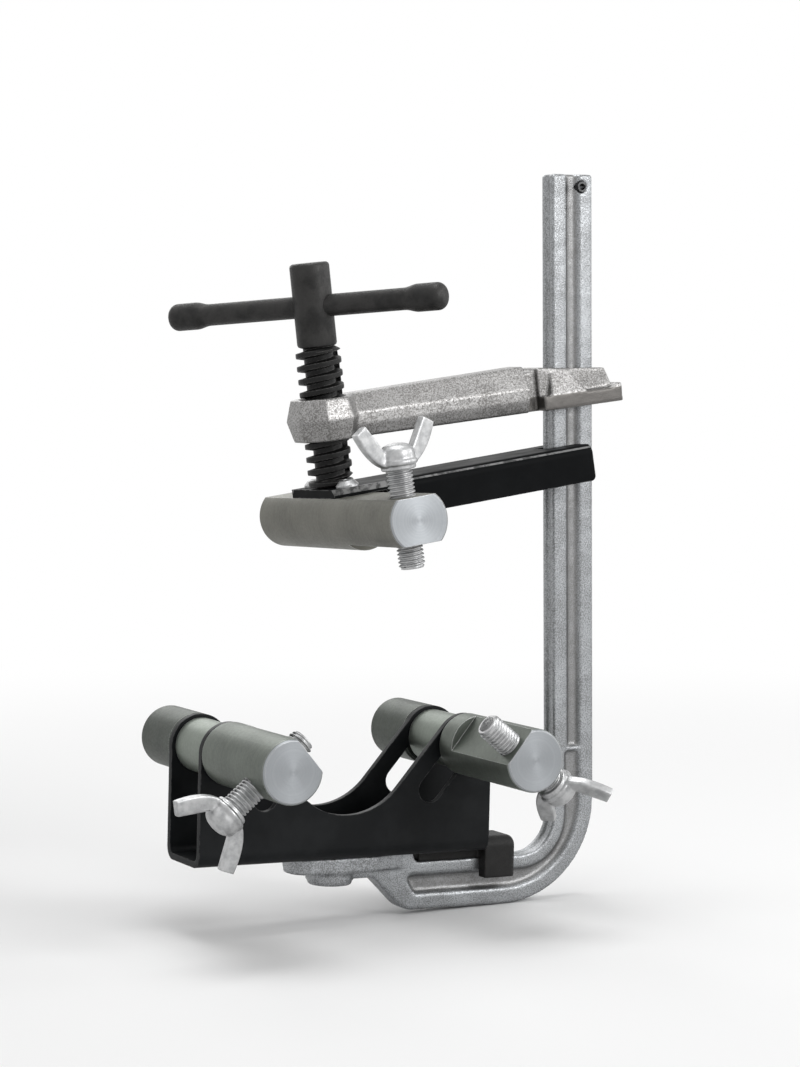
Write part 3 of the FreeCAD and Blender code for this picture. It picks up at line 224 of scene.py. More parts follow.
def bake(piece: bpy.types.Object, sharp: float) -> None:
    """Put the piece's modifiers into its mesh.

    Args:
        piece: The object to change.
        sharp: The angle in degrees above which an edge stays sharp.
    """
    bpy.context.view_layer.update()
    shaped = piece.evaluated_get(bpy.context.evaluated_depsgraph_get())
    mesh = bpy.data.meshes.new_from_object(shaped)
    piece.modifiers.clear()
    piece.data = mesh
    tidy(mesh, sharp)


def thread(outer: float, core: float, pitch: float, low: float, high: float,
           crest: float, flank: float, fade: float) -> np.ndarray:
    """Return rings of a helical thread.

    Ring j of turn k lies at height = low + pitch (k + v_j + a / 2 pi), so every ring climbs
    with the helix. Its radius is the trapezoid profile at v_j, faded to the core at both ends.

    Args:
        outer: The crest radius.
        core: The root radius.
        pitch: The rise of one turn.
        low: The height where the thread starts.
        high: The height where it ends.
        crest: The crest's share of the pitch.
        flank: One flank's share of the pitch.
        fade: The length over which the thread runs out at each end.

    Returns:
        An array of rings by steps by 3, with a seam whose points double.
    """
    gap = 1.0 - crest - 2 * flank
    soft = 0.18 * flank
    marks = np.array([
        0.0, soft, flank - soft, flank, flank + 0.5 * crest, flank + crest,
        flank + crest + soft, 2 * flank + crest - soft, 2 * flank + crest,
        2 * flank + crest + 0.5 * gap,
    ])
    lifts = np.array([0.0, 0.1, 0.92, 1.0, 1.02, 1.0, 0.92, 0.1, 0.0, 0.0])
    turns = int(math.ceil((high - low) / pitch)) + 1
    share = (np.arange(-1, turns)[:, None] + marks[None, :]).reshape(-1)
    lift = np.tile(lifts, turns + 1)
    angle = np.linspace(0, 2 * math.pi, 73)
    height = low + pitch * (share[:, None] + angle[None, :] / (2 * math.pi))
    height = np.clip(height, low, high)
    edge = np.minimum(height - low, high - height) / fade
    radius = core + (outer - core) * lift[:, None] * np.clip(edge, 0, 1)
    return np.stack([radius * np.cos(angle), radius * np.sin(angle), height], axis=-1)


def bezier(points: np.ndarray, share: np.ndarray) -> np.ndarray:
    """Return the cubic curve over four points: sum of C(3, i) (1 - t)^(3 - i) t^i P_i.

    Args:
        points: Four rows of x and z.
        share: The parameter t of each place on the curve, from 0 to 1.

    Returns:
        Rows of x and z.
    """
    power = np.arange(4)
    weight = (np.array([1.0, 3.0, 3.0, 1.0]) * (1 - share[:, None]) ** (3 - power)
              * share[:, None] ** power)
    return weight @ points


def blade(outer: np.ndarray, inner: np.ndarray, thick: np.ndarray) -> np.ndarray:
    """Return rings of a flat blade that lies between two edges in the XZ plane.

    Each ring spans from the inner to the outer edge as the rounded rectangle
    |across|^8 + |deep|^8 = 1, and the last rings close a little for a blunt tip.

    Args:
        outer: Rows of x and z along the outer edge.
        inner: The matching rows along the inner edge.
        thick: The blade's thickness at each row.

    Returns:
        An array of rings by steps by 3.
    """
    angle = np.linspace(0, 2 * math.pi, 64, endpoint=False)
    c, s = np.cos(angle), np.sin(angle)
    across = np.sign(c) * np.abs(c) ** 0.25
    deep = np.sign(s) * np.abs(s) ** 0.25
    middle = (outer + inner) / 2
    half = (outer - inner) / 2
    x = middle[:, :1] + half[:, :1] * across
    z = middle[:, 1:] + half[:, 1:] * across
    y = thick[:, None] / 2 * deep
    return np.stack([x, y, z], axis=-1)


def forging(name: str, node: str, grain: float, rounds: int) -> bpy.types.Object:
    """Make a forging of a node: its solid recast on a fine grid, its edges relaxed.

    Args:
        name: The new object's name.
        node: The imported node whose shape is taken.
        grain: The grid's spacing in millimetres.
        rounds: How often each point moves half way to its neighbours' middle.

    Returns:
        The new object, at the origin.
    """
    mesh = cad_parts[node].data.copy()
    mesh.name = name
    tidy(mesh, 30.0)
    piece = bpy.data.objects.new(name, mesh)
    bpy.context.scene.collection.objects.link(piece)
    recast(piece, grain, rounds, 80.0)
    return piece


def recast(piece: bpy.types.Object, grain: float, rounds: int, sharp: float) -> None:
    """Recast a piece as one skin on a fine grid and relax it.

    Args:
        piece: The object to change.
        grain: The grid's spacing in millimetres.
        rounds: How often each point moves half way to its neighbours' middle.
        sharp: The angle in degrees above which an edge stays sharp.
    """
    weld = piece.modifiers.new("weld", "REMESH")
    weld.mode = "VOXEL"
    weld.voxel_size = grain * MM
    soften = piece.modifiers.new("soften", "SMOOTH")
    soften.factor = 0.5
    soften.iterations = rounds
    bake(piece, sharp)


# ------------------------------------------------------------------ finishes


class Graph:
    """A material's node tree, with short calls that add nodes and return their outputs."""

    def __init__(self, name: str) -> None:
        """Start an empty material called name."""
        self.material = bpy.data.materials.new(name)
        self.material.use_nodes = True
        self.tree = self.material.node_tree
        self.tree.nodes.clear()
        self.position = self.add("ShaderNodeTexCoord").outputs["Object"]

    def add(self, kind: str, sockets: dict | None = None, **settings: object
            ) -> bpy.types.Node:
        """Add a node.

        Args:
            kind: The node's type name.
            sockets: Values or outputs for its inputs, by name or number.
            settings: The node's own settings.

        Returns:
            The node.
        """
        node = self.tree.nodes.new(kind)
        for key, value in settings.items():
            setattr(node, key, value)
        for key, value in (sockets or {}).items():
            if isinstance(value, bpy.types.NodeSocket):
                self.tree.links.new(value, node.inputs[key])
            else:
                node.inputs[key].default_value = value
        return node

    def math(self, operation: str, *values: object) -> bpy.types.NodeSocket:
        """Return the result of a Math node with these values."""
        return self.add("ShaderNodeMath", dict(enumerate(values)), operation=operation).outputs[0]

    def vector(self, operation: str, *values: object) -> bpy.types.Node:
        """Return a Vector Math node with these values."""
        return self.add("ShaderNodeVectorMath", dict(enumerate(values)), operation=operation)

    def offset(self, place: Place) -> bpy.types.NodeSocket:
        """Return the position counted from a place's origin."""
        return self.vector("SUBTRACT", self.position, place.metres()).outputs[0]

    def along(self, place: Place, axis: int) -> bpy.types.NodeSocket:
        """Return how far the position lies along one of a place's axes."""
        offset = self.offset(place)
        return self.vector("DOT_PRODUCT", offset, place.axis(axis)).outputs["Value"]

    def noise(self, scale: float, detail: float = 3.0, vector: object = None,
              rough: float = 0.5) -> bpy.types.NodeSocket:
        """Return a noise pattern.

        Args:
            scale: Cycles in a metre.
            detail: Octaves.
            vector: The coordinates, or None for the object's.
            rough: How strong the finer octaves are.

        Returns:
            The pattern, around 0.5.
        """
        sockets = {
            "Vector": vector or self.position, "Scale": scale, "Detail": detail,
            "Roughness": rough,
        }
        return self.add("ShaderNodeTexNoise", sockets).outputs["Fac"]

    def span(self, value: object, low: float, high: float, start: float = 0.0,
             end: float = 1.0) -> bpy.types.NodeSocket:
        """Return the value mapped smoothly from low..high to start..end."""
        sockets = {0: value, 1: low, 2: high, 3: start, 4: end}
        node = self.add("ShaderNodeMapRange", sockets, interpolation_type="SMOOTHSTEP")
        return node.outputs[0]

    def blend(self, share: object, first: object, second: object) -> bpy.types.NodeSocket:
        """Return a colour between first and second."""
        node = self.add("ShaderNodeMix", data_type="RGBA")
        for key, value in ((0, share), (6, first), (7, second)):
            if isinstance(value, bpy.types.NodeSocket):
                self.tree.links.new(value, node.inputs[key])
            else:
                node.inputs[key].default_value = value
        return node.outputs[2]

    def rounded(self, radius: float) -> bpy.types.NodeSocket:
        """Return the normal with every edge rounded by this radius in metres."""
        return self.add("ShaderNodeBevel", {"Radius": radius}, samples=6).outputs[0]

    def edges(self, radius: float) -> bpy.types.NodeSocket:
        """Return 1 on edges and 0 on flats, by how far rounding turns the normal."""
        true_normal = self.add("ShaderNodeNewGeometry").outputs["Normal"]
        dot = self.vector("DOT_PRODUCT", self.rounded(radius), true_normal).outputs["Value"]
        return self.span(dot, 0.995, 0.86)

    def bump(self, height: object, strength: float, distance: float,
             normal: object = None) -> bpy.types.NodeSocket:
        """Return the normal bent by a height pattern.

        Args:
            height: The pattern.
            strength: How much of the bend is used.
            distance: The pattern's full height in metres.
            normal: The normal to start from, or None for the surface's.

        Returns:
            The bent normal.
        """
        sockets = {"Height": height, "Strength": strength, "Distance": distance}
        if normal is not None:
            sockets["Normal"] = normal
        return self.add("ShaderNodeBump", sockets).outputs[0]

    def finish(self, sockets: dict) -> bpy.types.Material:
        """Close the tree with one surface shader and return the material."""
        shader = self.add("ShaderNodeBsdfPrincipled", sockets)
        self.add("ShaderNodeOutputMaterial", {"Surface": shader.outputs[0]})
        return self.material


def tint(level: float, warm: float = 0.0) -> tuple[float, float, float, float]:
    """Return a grey of this level, warmer above 0 and cooler below."""
    return (level * (1 + warm), level, level * (1 - warm), 1.0)


@dataclass(frozen=True)
class ForgedFinish:
    """Plated forging: satin silver with a fine pitted grain, and rubbed edges that are also
    lightened as a painted highlight.

    The channel is half the thickness between its rims, under which the recessed faces get painted
    shade, or 0. The foot is where the sleeve's foot starts along the jaw's frame, and its height;
    below it the foot gets painted shade.
    """

    light: float = 0.39
    dark: float = 0.18
    worn_and_highlit: float = 0.62
    warm: float = -0.035
    grain: float = 1700.0
    edge: float = 0.0009
    channel: float = 0.0
    foot: tuple[float, float] | None = None

    def make(self, name: str) -> bpy.types.Material:
        """Return the material under this name."""
        graph = Graph(name)
        grain = graph.noise(self.grain, 3.0, rough=0.6)
        patches = graph.noise(70.0, 4.0, rough=0.6)
        speck = graph.math("ADD", graph.math("MULTIPLY", grain, 0.78),
                           graph.math("MULTIPLY", patches, 0.22))
        colour = graph.blend(graph.span(speck, 0.40, 0.62), tint(self.light, self.warm),
                             tint(self.dark, self.warm + 0.02))
        if self.channel:
            # painted shade: recessed faces under the channel's rim are darkened
            colour = graph.blend(self.recess_shade(graph), colour, tint(self.dark, 0.03))
        if self.foot:
            # painted shade: the sleeve's foot below its lip is darkened and warmed
            colour = graph.blend(self.foot_shade(graph), colour, tint(self.dark * 0.8, 0.05))
        # rubbed wear and painted highlight: every edge is lightened
        colour = graph.blend(graph.edges(self.edge), colour, tint(self.worn_and_highlit, self.warm))
        rough = graph.span(grain, 0.3, 0.75, 0.34, 0.48)
        normal = graph.bump(grain, 0.30, 0.0003, graph.rounded(self.edge))
        normal = graph.bump(graph.noise(140.0, 2.0), 0.30, 0.0012, normal)
        return graph.finish({
            "Base Color": colour, "Metallic": 0.9, "Roughness": rough, "Normal": normal,
        })

    def recess_shade(self, graph: Graph) -> bpy.types.NodeSocket:
        """Return the share of painted shade: 0.6 on faces across Y that lie under the channel's
        rim.
        """
        depth = graph.add("ShaderNodeSeparateXYZ", {0: graph.position}).outputs[1]
        facing = graph.add("ShaderNodeNewGeometry").outputs["True Normal"]
        across = graph.add("ShaderNodeSeparateXYZ", {0: facing}).outputs[1]
        low = graph.span(graph.math("ABSOLUTE", depth), (self.channel - 0.5) * MM,
                         (self.channel - 1.7) * MM)
        flat = graph.span(graph.math("ABSOLUTE", across), 0.45, 0.75)
        return graph.math("MULTIPLY", graph.math("MULTIPLY", low, flat), 0.6)

    def foot_shade(self, graph: Graph) -> bpy.types.NodeSocket:
        """Return the share of painted shade: 1 on the sleeve's foot, below its lip."""
        start, lip = self.foot
        run = graph.along(JAW, AXIS_X)
        height = graph.along(JAW, AXIS_Z)
        past = graph.span(run, (start - 0.3) * MM, (start + 0.3) * MM)
        below = graph.span(height, (lip + 0.2) * MM, (lip - 0.3) * MM)
        return graph.math("MULTIPLY", past, below)


@dataclass(frozen=True)
class TurnedFinish:
    """Turned steel: matte rings round the body, bright faced ends with a radial sheen, and a
    painted highlight along the edges.
    """

    place: Place
    near: float = -83.0
    far: float = 51.5
    light: float = 0.16
    dark: float = 0.115
    face: float = 0.33
    cast: tuple[float, float] = (0.90, 0.88)

    def make(self, name: str) -> bpy.types.Material:
        """Return the material under this name."""
        graph = Graph(name)
        offset = graph.offset(self.place)
        axis = self.place.axis(AXIS_Y)
        run = graph.along(self.place, AXIS_Y)
        arm = graph.vector("CROSS_PRODUCT", offset, axis).outputs[0]
        radius = graph.vector("LENGTH", arm).outputs["Value"]
        rings = graph.add("ShaderNodeCombineXYZ", {0: radius, 1: run, 2: 0.0}).outputs[0]
        marks = graph.noise(1400.0, 3.0, rings, 0.7)
        broad = graph.noise(60.0, 3.0)
        grain = graph.noise(900.0, 3.0)
        round_about = graph.vector("CROSS_PRODUCT", axis, offset).outputs[0]
        facing = graph.add("ShaderNodeNewGeometry").outputs["Normal"]
        spread = graph.vector("CROSS_PRODUCT", round_about, facing).outputs[0]
        spread = graph.vector("NORMALIZE", spread).outputs[0]
        shade = graph.math("ADD", graph.math("MULTIPLY", marks, 0.45),
                           graph.math("MULTIPLY", broad, 0.55))
        colour = graph.blend(graph.span(shade, 0.35, 0.68), self.shade(self.light),
                             self.shade(self.dark))
        ends = graph.math("MAXIMUM", graph.span(run, (self.near + 0.9) * MM,
                                                (self.near + 0.5) * MM),
                          graph.span(run, (self.far - 0.9) * MM, (self.far - 0.5) * MM))
        faced = graph.blend(graph.span(marks, 0.35, 0.65), tint(self.face, -0.045),
                            tint(self.face * 0.92, -0.045))
        colour = graph.blend(ends, colour, faced)
        # painted highlight: every edge is lightened
        colour = graph.blend(graph.edges(0.0005), colour, tint(0.50))
        rough = graph.math("SUBTRACT", graph.span(grain, 0.3, 0.7, 0.40, 0.50),
                           graph.math("MULTIPLY", ends, 0.06))
        normal = graph.bump(marks, 0.10, 0.00010, graph.rounded(0.0004))
        normal = graph.bump(grain, 0.12, 0.00015, normal)
        return graph.finish({
            "Base Color": colour, "Metallic": graph.math("MULTIPLY_ADD", ends, 0.05, 0.85),
            "Roughness": rough, "Normal": normal, "Anisotropic": 0.45, "Tangent": spread,
        })

    def shade(self, level: float) -> tuple[float, float, float, float]:
        """Return the faintly tinted grey of this level."""
        return (level * self.cast[0], level, level * self.cast[1], 1.0)


@dataclass(frozen=True)
class PaintFinish:
    """Black paint on folded plate: semi-gloss, orange-peel, rubbed thin along its edges, which are
    also lightened as a painted highlight.

    The fold is the height of its outermost line in the place's frame, |y| + z, along which a thin
    painted highlight runs, or 0 for none.
    """

    level: float = 0.0065
    rough: float = 0.38
    gloss: float = 0.12
    wear_and_highlight_share: float = 0.22
    edge: float = 0.0007
    place: Place = CRADLE
    fold: float = 0.0

    def make(self, name: str) -> bpy.types.Material:
        """Return the material under this name."""
        graph = Graph(name)
        peel = graph.noise(420.0, 2.0)
        dust = graph.noise(45.0, 5.0, rough=0.6)
        scuffs = graph.noise(260.0, 4.0, rough=0.7)
        rubbed_and_highlit = graph.math("MULTIPLY", graph.edges(self.edge), graph.span(scuffs, 0.40, 0.56))
        # painted highlight: a thin light line along the fold's outermost line
        if self.fold:
            across = graph.math("ABSOLUTE", graph.along(self.place, AXIS_Y))
            corner = graph.math("ADD", across, graph.along(self.place, AXIS_Z))
            line = graph.span(corner, (self.fold - 0.10) * MM, (self.fold - 0.03) * MM)
            line = graph.math("MULTIPLY", line, graph.span(scuffs, 0.40, 0.56, 0.35, 1.0))
            rubbed_and_highlit = graph.math("MAXIMUM", rubbed_and_highlit, line)
        rubbed_and_highlit = graph.math("MULTIPLY", rubbed_and_highlit, self.wear_and_highlight_share)
        colour = graph.blend(graph.span(dust, 0.4, 0.7), tint(self.level, -0.12),
                             tint(self.level * 1.9, -0.08))
        # edges rubbed towards bare metal and lightened as a painted highlight, with the fold's
        # painted highlight
        colour = graph.blend(rubbed_and_highlit, colour, tint(0.34))
        rough = graph.span(dust, 0.3, 0.7, self.rough, self.rough + 0.16)
        normal = graph.bump(peel, 0.10, 0.0003, graph.rounded(self.edge))
        return graph.finish({
            "Base Color": colour, "Metallic": graph.math("MULTIPLY", rubbed_and_highlit, 0.8),
            "Roughness": rough, "Normal": normal, "Specular IOR Level": self.gloss,
        })


@dataclass(frozen=True)
class BlackenedFinish:
    """Blackened steel: dark brown-grey satin with a fine grain, and edges lighter by wear and by a
    painted highlight.

    Below the shade height in the place's frame the steel gets painted shade, as over the spindle's
    thread; 0 is for none.
    """

    light: float = 0.031
    dark: float = 0.013
    rough: float = 0.42
    edge: float = 0.0006
    place: Place = JAW
    shade_height: float = 0.0

    def make(self, name: str) -> bpy.types.Material:
        """Return the material under this name."""
        graph = Graph(name)
        grain = graph.noise(1300.0, 4.0, rough=0.65)
        patches = graph.noise(120.0, 3.0)
        colour = graph.blend(graph.span(patches, 0.35, 0.7), tint(self.light, 0.03),
                             tint(self.dark, 0.02))
        if self.shade_height:
            height = graph.along(self.place, AXIS_Z)
            below_shade = graph.span(height, (self.shade_height + 0.4) * MM, (self.shade_height - 0.4) * MM)
            # painted shade: everything below that height is darkened
            colour = graph.blend(below_shade, colour, tint(self.dark * 0.45, 0.02))
        worn_and_highlit = graph.math("MULTIPLY", graph.edges(self.edge), graph.span(grain, 0.35, 0.7))
        # rubbed wear and painted highlight: every edge is lightened
        colour = graph.blend(worn_and_highlit, colour, tint(0.22, 0.02))
        rough = graph.span(grain, 0.3, 0.7, self.rough, self.rough + 0.2)
        normal = graph.bump(grain, 0.35, 0.0003, graph.rounded(self.edge))
        return graph.finish({
            "Base Color": colour, "Metallic": 0.55, "Roughness": rough, "Normal": normal,
        })


@dataclass(frozen=True)
class ZincFinish:
    """Bright zinc: light, slightly blue, with faint clouding."""

    light: float = 0.47
    dark: float = 0.32
    rough: float = 0.32

    def make(self, name: str) -> bpy.types.Material:
        """Return the material under this name."""
        graph = Graph(name)
        cloud = graph.noise(240.0, 4.0, rough=0.6)
        grain = graph.noise(1600.0, 3.0)
        colour = graph.blend(graph.span(cloud, 0.35, 0.7), tint(self.light, -0.006),
                             tint(self.dark, -0.012))
        rough = graph.span(grain, 0.3, 0.7, self.rough, self.rough + 0.14)
        normal = graph.bump(grain, 0.22, 0.0002, graph.rounded(0.0003))
        return graph.finish({
            "Base Color": colour, "Metallic": 0.95, "Roughness": rough, "Normal": normal,
        })


class Paint:
    """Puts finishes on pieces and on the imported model's own nodes."""

    @staticmethod
    def node(name: str, material: bpy.types.Material) -> None:
        """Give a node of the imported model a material.

        Args:
            name: The node's name.
            material: The finish.
        """
        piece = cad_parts[name]
        if not piece.material_slots:
            piece.data.materials.append(material)
        for slot in piece.material_slots:
            slot.material = material
        LOG.info("dressed %s", name)

    @staticmethod
    def piece(piece: bpy.types.Object, material: bpy.types.Material, body: str, slot: str,
              *nodes: str) -> None:
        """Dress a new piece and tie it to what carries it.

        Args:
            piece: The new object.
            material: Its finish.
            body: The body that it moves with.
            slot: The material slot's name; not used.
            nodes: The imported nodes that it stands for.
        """
        piece.data.materials.clear()
        piece.data.materials.append(material)
        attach(piece, body)
        if nodes:
            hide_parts(*nodes)
        LOG.info("built %s with %d faces", piece.name, len(piece.data.polygons))


# ------------------------------------------------------------------ sub-assemblies


@dataclass
class RailFrame:
    """Rail, fixed arm and stop pin."""

    grain: float = 0.66
    rounds: int = 4
    # painted shade in the rail's recesses under its rims
    finish: ForgedFinish = ForgedFinish(channel=5.25)
    # the stop pin is darkened as painted shade of its hole
    pin: ZincFinish = ZincFinish(light=0.10, dark=0.06)

    def make(self) -> None:
        """Forge the rail with its arm, and dress it and its pin."""
        rail = forging("rail_forging", "rail_and_fixed_arm", self.grain, self.rounds)
        Paint.piece(rail, self.finish.make("rail_plating"), "rail_frame", "forged_steel",
                    "rail_and_fixed_arm")
        Paint.node("rail_stop_pin", self.pin.make("pin_painted_shade"))


@dataclass
class CradleSet:
    """Folded cradle, its saddle block and their screws."""

    grain: float = 0.4
    rounds: int = 5
    plate: PaintFinish = PaintFinish()
    block: BlackenedFinish = BlackenedFinish(light=0.013, dark=0.008, rough=0.48)

    def make(self) -> None:
        """Dress the cradle and the screws, and forge the block."""
        Paint.node("cradle", self.plate.make("cradle_paint"))
        steel = self.block.make("saddle_steel")
        block = forging("saddle_forging", "saddle_block", self.grain, self.rounds)
        Paint.piece(block, steel, "rail_frame", "dark_steel", "saddle_block")
        Paint.node("saddle_screw", steel)
        Paint.node("cradle_screw", steel)


@dataclass
class SlidingArm:
    """Forged sliding arm."""

    grain: float = 0.55
    rounds: int = 6
    # painted shade on the sleeve's foot below its lip; lighter edges are wear and painted
    # highlight
    finish: ForgedFinish = ForgedFinish(light=0.33, dark=0.14, worn_and_highlit=0.58, warm=0.012,
                                        grain=1400.0, edge=0.0012, foot=(104.0, 45.0))

    def make(self) -> None:
        """Forge the arm and dress it."""
        arm = forging("arm_forging", "sliding_arm", self.grain, self.rounds)
        Paint.piece(arm, self.finish.make("arm_plating"), "sliding_arm", "forged_steel",
                    "sliding_arm")


@dataclass
class Spindle:
    """Coarse screw, its head, its collar and the tommy bar."""

    shoulder: float = 17.05
    outer: float = 10.4
    core: float = 6.8
    pitch: float = 6.0
    length: float = 64.25
    head_radius: float = 9.2
    head_length: float = 38.5
    neck_radius: float = 5.0
    neck_bottom: float = 8.65
    handle_rise: float = 18.5
    handle_yaw: float = 54.0
    handle_half: float = 71.5
    handle_shift: float = 4.0
    handle_radius: float = 5.1
    knob_radius: float = 6.4
    knob_length: float = 20.8
    flare: float = 7.4
    rounding: float = 4.2
    finish: BlackenedFinish = BlackenedFinish()
    # the thread below the head is darkened as painted shade
    screw_finish: BlackenedFinish = BlackenedFinish(shade_height=81.3)

    def screw(self) -> bpy.types.Object:
        """Build the neck, the helical thread and the plain head.

        Returns:
            The spindle's object.
        """
        top = self.shoulder + self.length
        head_top = top + self.head_length
        neck = lathe(np.array([
            (self.neck_radius, self.neck_bottom), (self.neck_radius, self.shoulder + 0.5),
        ]))
        collar = lathe(np.array([
            (self.outer - 0.5, self.shoulder), (self.outer, self.shoulder + 0.5),
            (self.outer, self.shoulder + 2.0), (self.outer - 0.5, self.shoulder + 2.5),
            (self.core, self.shoulder + 2.6),
        ]))
        helix = thread(self.outer, self.core, self.pitch, self.shoulder + 2.0, top + 0.5,
                       crest=0.36, flank=0.15, fade=2.2)
        head = lathe(np.array([
            (self.core, top - 0.4), (self.head_radius - 1.2, top),
            (self.head_radius - 0.4, top + 0.4), (self.head_radius, top + 1.4),
            (self.head_radius, head_top - 1.6), (self.head_radius - 0.35, head_top - 0.7),
            (self.head_radius - 1.1, head_top - 0.1), (self.head_radius - 1.6, head_top),
            (0.01, head_top),
        ]))
        return build("spindle_screw", [neck, collar, helix, head], JAW, 40.0)

    def handle(self) -> bpy.types.Object:
        """Build the tommy bar: r = bar + swell (1 - cos) / 2 along each end.

        Returns:
            The bar's object.
        """
        place = JAW.within((0, 0, self.shoulder + self.length + self.handle_rise),
                           about_z(-self.handle_yaw) @ about_y(90))
        reach = self.handle_half
        round_off = self.rounding
        along = np.linspace(0, reach - round_off, 90)
        swell = np.clip((along - (reach - self.knob_length)) / self.flare, 0, 1)
        radius = self.handle_radius + (self.knob_radius - self.handle_radius) * (
            0.5 - 0.5 * np.cos(math.pi * swell))
        turn = np.linspace(0, math.pi / 2, 11)[1:]
        cap_radius = self.knob_radius - round_off + round_off * np.cos(turn)
        cap_along = reach - round_off + round_off * np.sin(turn)
        half = np.concatenate([
            np.stack([radius, along], axis=1), np.stack([cap_radius, cap_along], axis=1),
            [[0.01, reach]],
        ])
        whole = np.concatenate([half[:0:-1] * [1, -1], half]) - [0, self.handle_shift]
        return build("tommy_bar", [lathe(whole, 64)], place, 50.0)

    def make(self) -> None:
        """Build and dress the spindle, the bar and the collar."""
        dark = self.screw_finish.make("spindle_black")
        Paint.piece(self.screw(), dark, "spindle", "dark_steel", "spindle")
        Paint.piece(self.handle(), self.finish.make("handle_black"), "handle", "dark_steel",
                    "handle_bar")
        Paint.node("spindle_collar", dark)


@dataclass
class UpperJaw:
    """Upper pressure bar, its guide channel and the two button screws."""

    # a thin painted highlight along the channel's near fold
    paint: PaintFinish = PaintFinish(level=0.0036, rough=0.44, gloss=0.04, wear_and_highlight_share=0.6,
                                     place=PRESSURE, fold=33.92)
    screws: ZincFinish = ZincFinish()
    bar: TurnedFinish = TurnedFinish(PRESSURE, near=-82.3, far=53.5, cast=(1.01, 0.87))

    def make(self) -> None:
        """Dress the jaw's nodes."""
        Paint.node("guide_channel", self.paint.make("channel_paint"))
        Paint.node("guide_screws", self.screws.make("button_zinc"))
        Paint.node("upper_bar", self.bar.make("upper_bar_steel"))


@dataclass
class LowerBar:
    """Rear head, spacer, clamp bolt and front bar of one side."""

    side: Side
    bolt: BlackenedFinish = BlackenedFinish()

    def make(self) -> None:
        """Dress the side's nodes."""
        word = self.side.word
        place = self.side.bar
        head = TurnedFinish(place, light=0.095, dark=0.065)
        Paint.node(f"{word}_rear_head", head.make(f"{word}_head_steel"))
        Paint.node(f"{word}_spacer",
                   TurnedFinish(place, light=0.24, dark=0.19).make(f"{word}_spacer_steel"))
        Paint.node(f"{word}_front_bar", TurnedFinish(place).make(f"{word}_bar_steel"))
        Paint.node(f"{word}_clamp_bolt", self.bolt.make(f"{word}_bolt_black"))


@dataclass
class WingScrew:
    """Threaded stud and forged wing head of one bar."""

    word: str
    place: Place
    advance: float = 0.0
    stud_radius: float = 5.95
    pitch: float = 1.75
    stand: float = 26.5
    reach: float = 17.5
    hub_radius: float = 8.1
    rim_radius: float = 8.9
    hub_height: float = 12.0
    thick: float = 4.2
    outer_edge: tuple[tuple[float, float], ...] = (
        (6.0, -4.8), (13.0, -3.6), (18.6, 3.9), (22.2, 12.1))
    inner_edge: tuple[tuple[float, float], ...] = (
        (5.5, -0.8), (9.2, 5.2), (12.0, 9.4), (16.3, 15.6))
    finish: ZincFinish = ZincFinish()

    def stud(self) -> bpy.types.Object:
        """Build the stud with its fine helical thread.

        Returns:
            The stud's object.
        """
        low = -self.reach - self.advance
        high = self.stand - self.advance + 4.0
        core = self.stud_radius - 0.95
        helix = thread(self.stud_radius, core, self.pitch, low, high, 0.16, 0.36, 1.6)
        tip = lathe(np.array([(core - 1.0, low), (core, low + 0.9), (core, low + 2.0)]))
        return build(f"{self.word}_wing_thread", [helix, tip], self.place, 50.0)

    def head(self) -> bpy.types.Object:
        """Build the hub and its two wings as one soft forging.

        Returns:
            The wing's object.
        """
        low = self.stand - self.advance
        top = low + self.hub_height
        hub = self.hub_radius
        rim = self.rim_radius
        turn = np.linspace(0, math.pi / 2, 12)
        dome = np.stack([hub * np.cos(turn) ** 0.8 + 0.01,
                         top - 5.0 + 5.0 * np.sin(turn)], axis=1)
        body = lathe(np.concatenate([
            np.array([(hub - 1.0, low), (hub - 0.3, low + 0.5), (hub - 0.3, low + 2.0),
                      (rim - 0.3, low + 2.4), (rim, low + 2.9), (rim, low + 3.9),
                      (rim - 0.3, low + 4.4), (hub, low + 4.9), (hub, low + 6.8)]),
            dome,
        ]))
        parts = [body]
        share = np.linspace(0, 1, 60)
        middle = low + self.hub_height / 2
        outer = bezier(np.array(self.outer_edge), share) + [0, middle]
        inner = bezier(np.array(self.inner_edge), share) + [0, middle]
        thick = self.thick + 1.8 * np.clip(1 - share * 3.0, 0, 1) ** 2
        for sign in (-1, 1):
            flip = np.array([sign, 1])
            parts.append(blade(outer * flip, inner * flip, thick))
        piece = build(f"{self.word}_wing", parts, self.place)
        recast(piece, 0.34, 4, 60.0)
        return piece

    def make(self) -> None:
        """Build and dress the stud and the head."""
        Paint.piece(self.stud(), self.finish.make(f"{self.word}_stud_zinc"),
                    f"{self.word}_screw", "bright_zinc", f"{self.word}_wing_stud")
        Paint.piece(self.head(), self.finish.make(f"{self.word}_wing_zinc"),
                    f"{self.word}_wing", "bright_zinc", f"{self.word}_wing_head")


# ------------------------------------------------------------------ studio


@dataclass(frozen=True)
class Lamp:
    """A soft box: its place in metres, its power in watts, its width and height in metres."""

    name: str
    spot: tuple[float, float, float]
    power: float
    width: float
    height: float


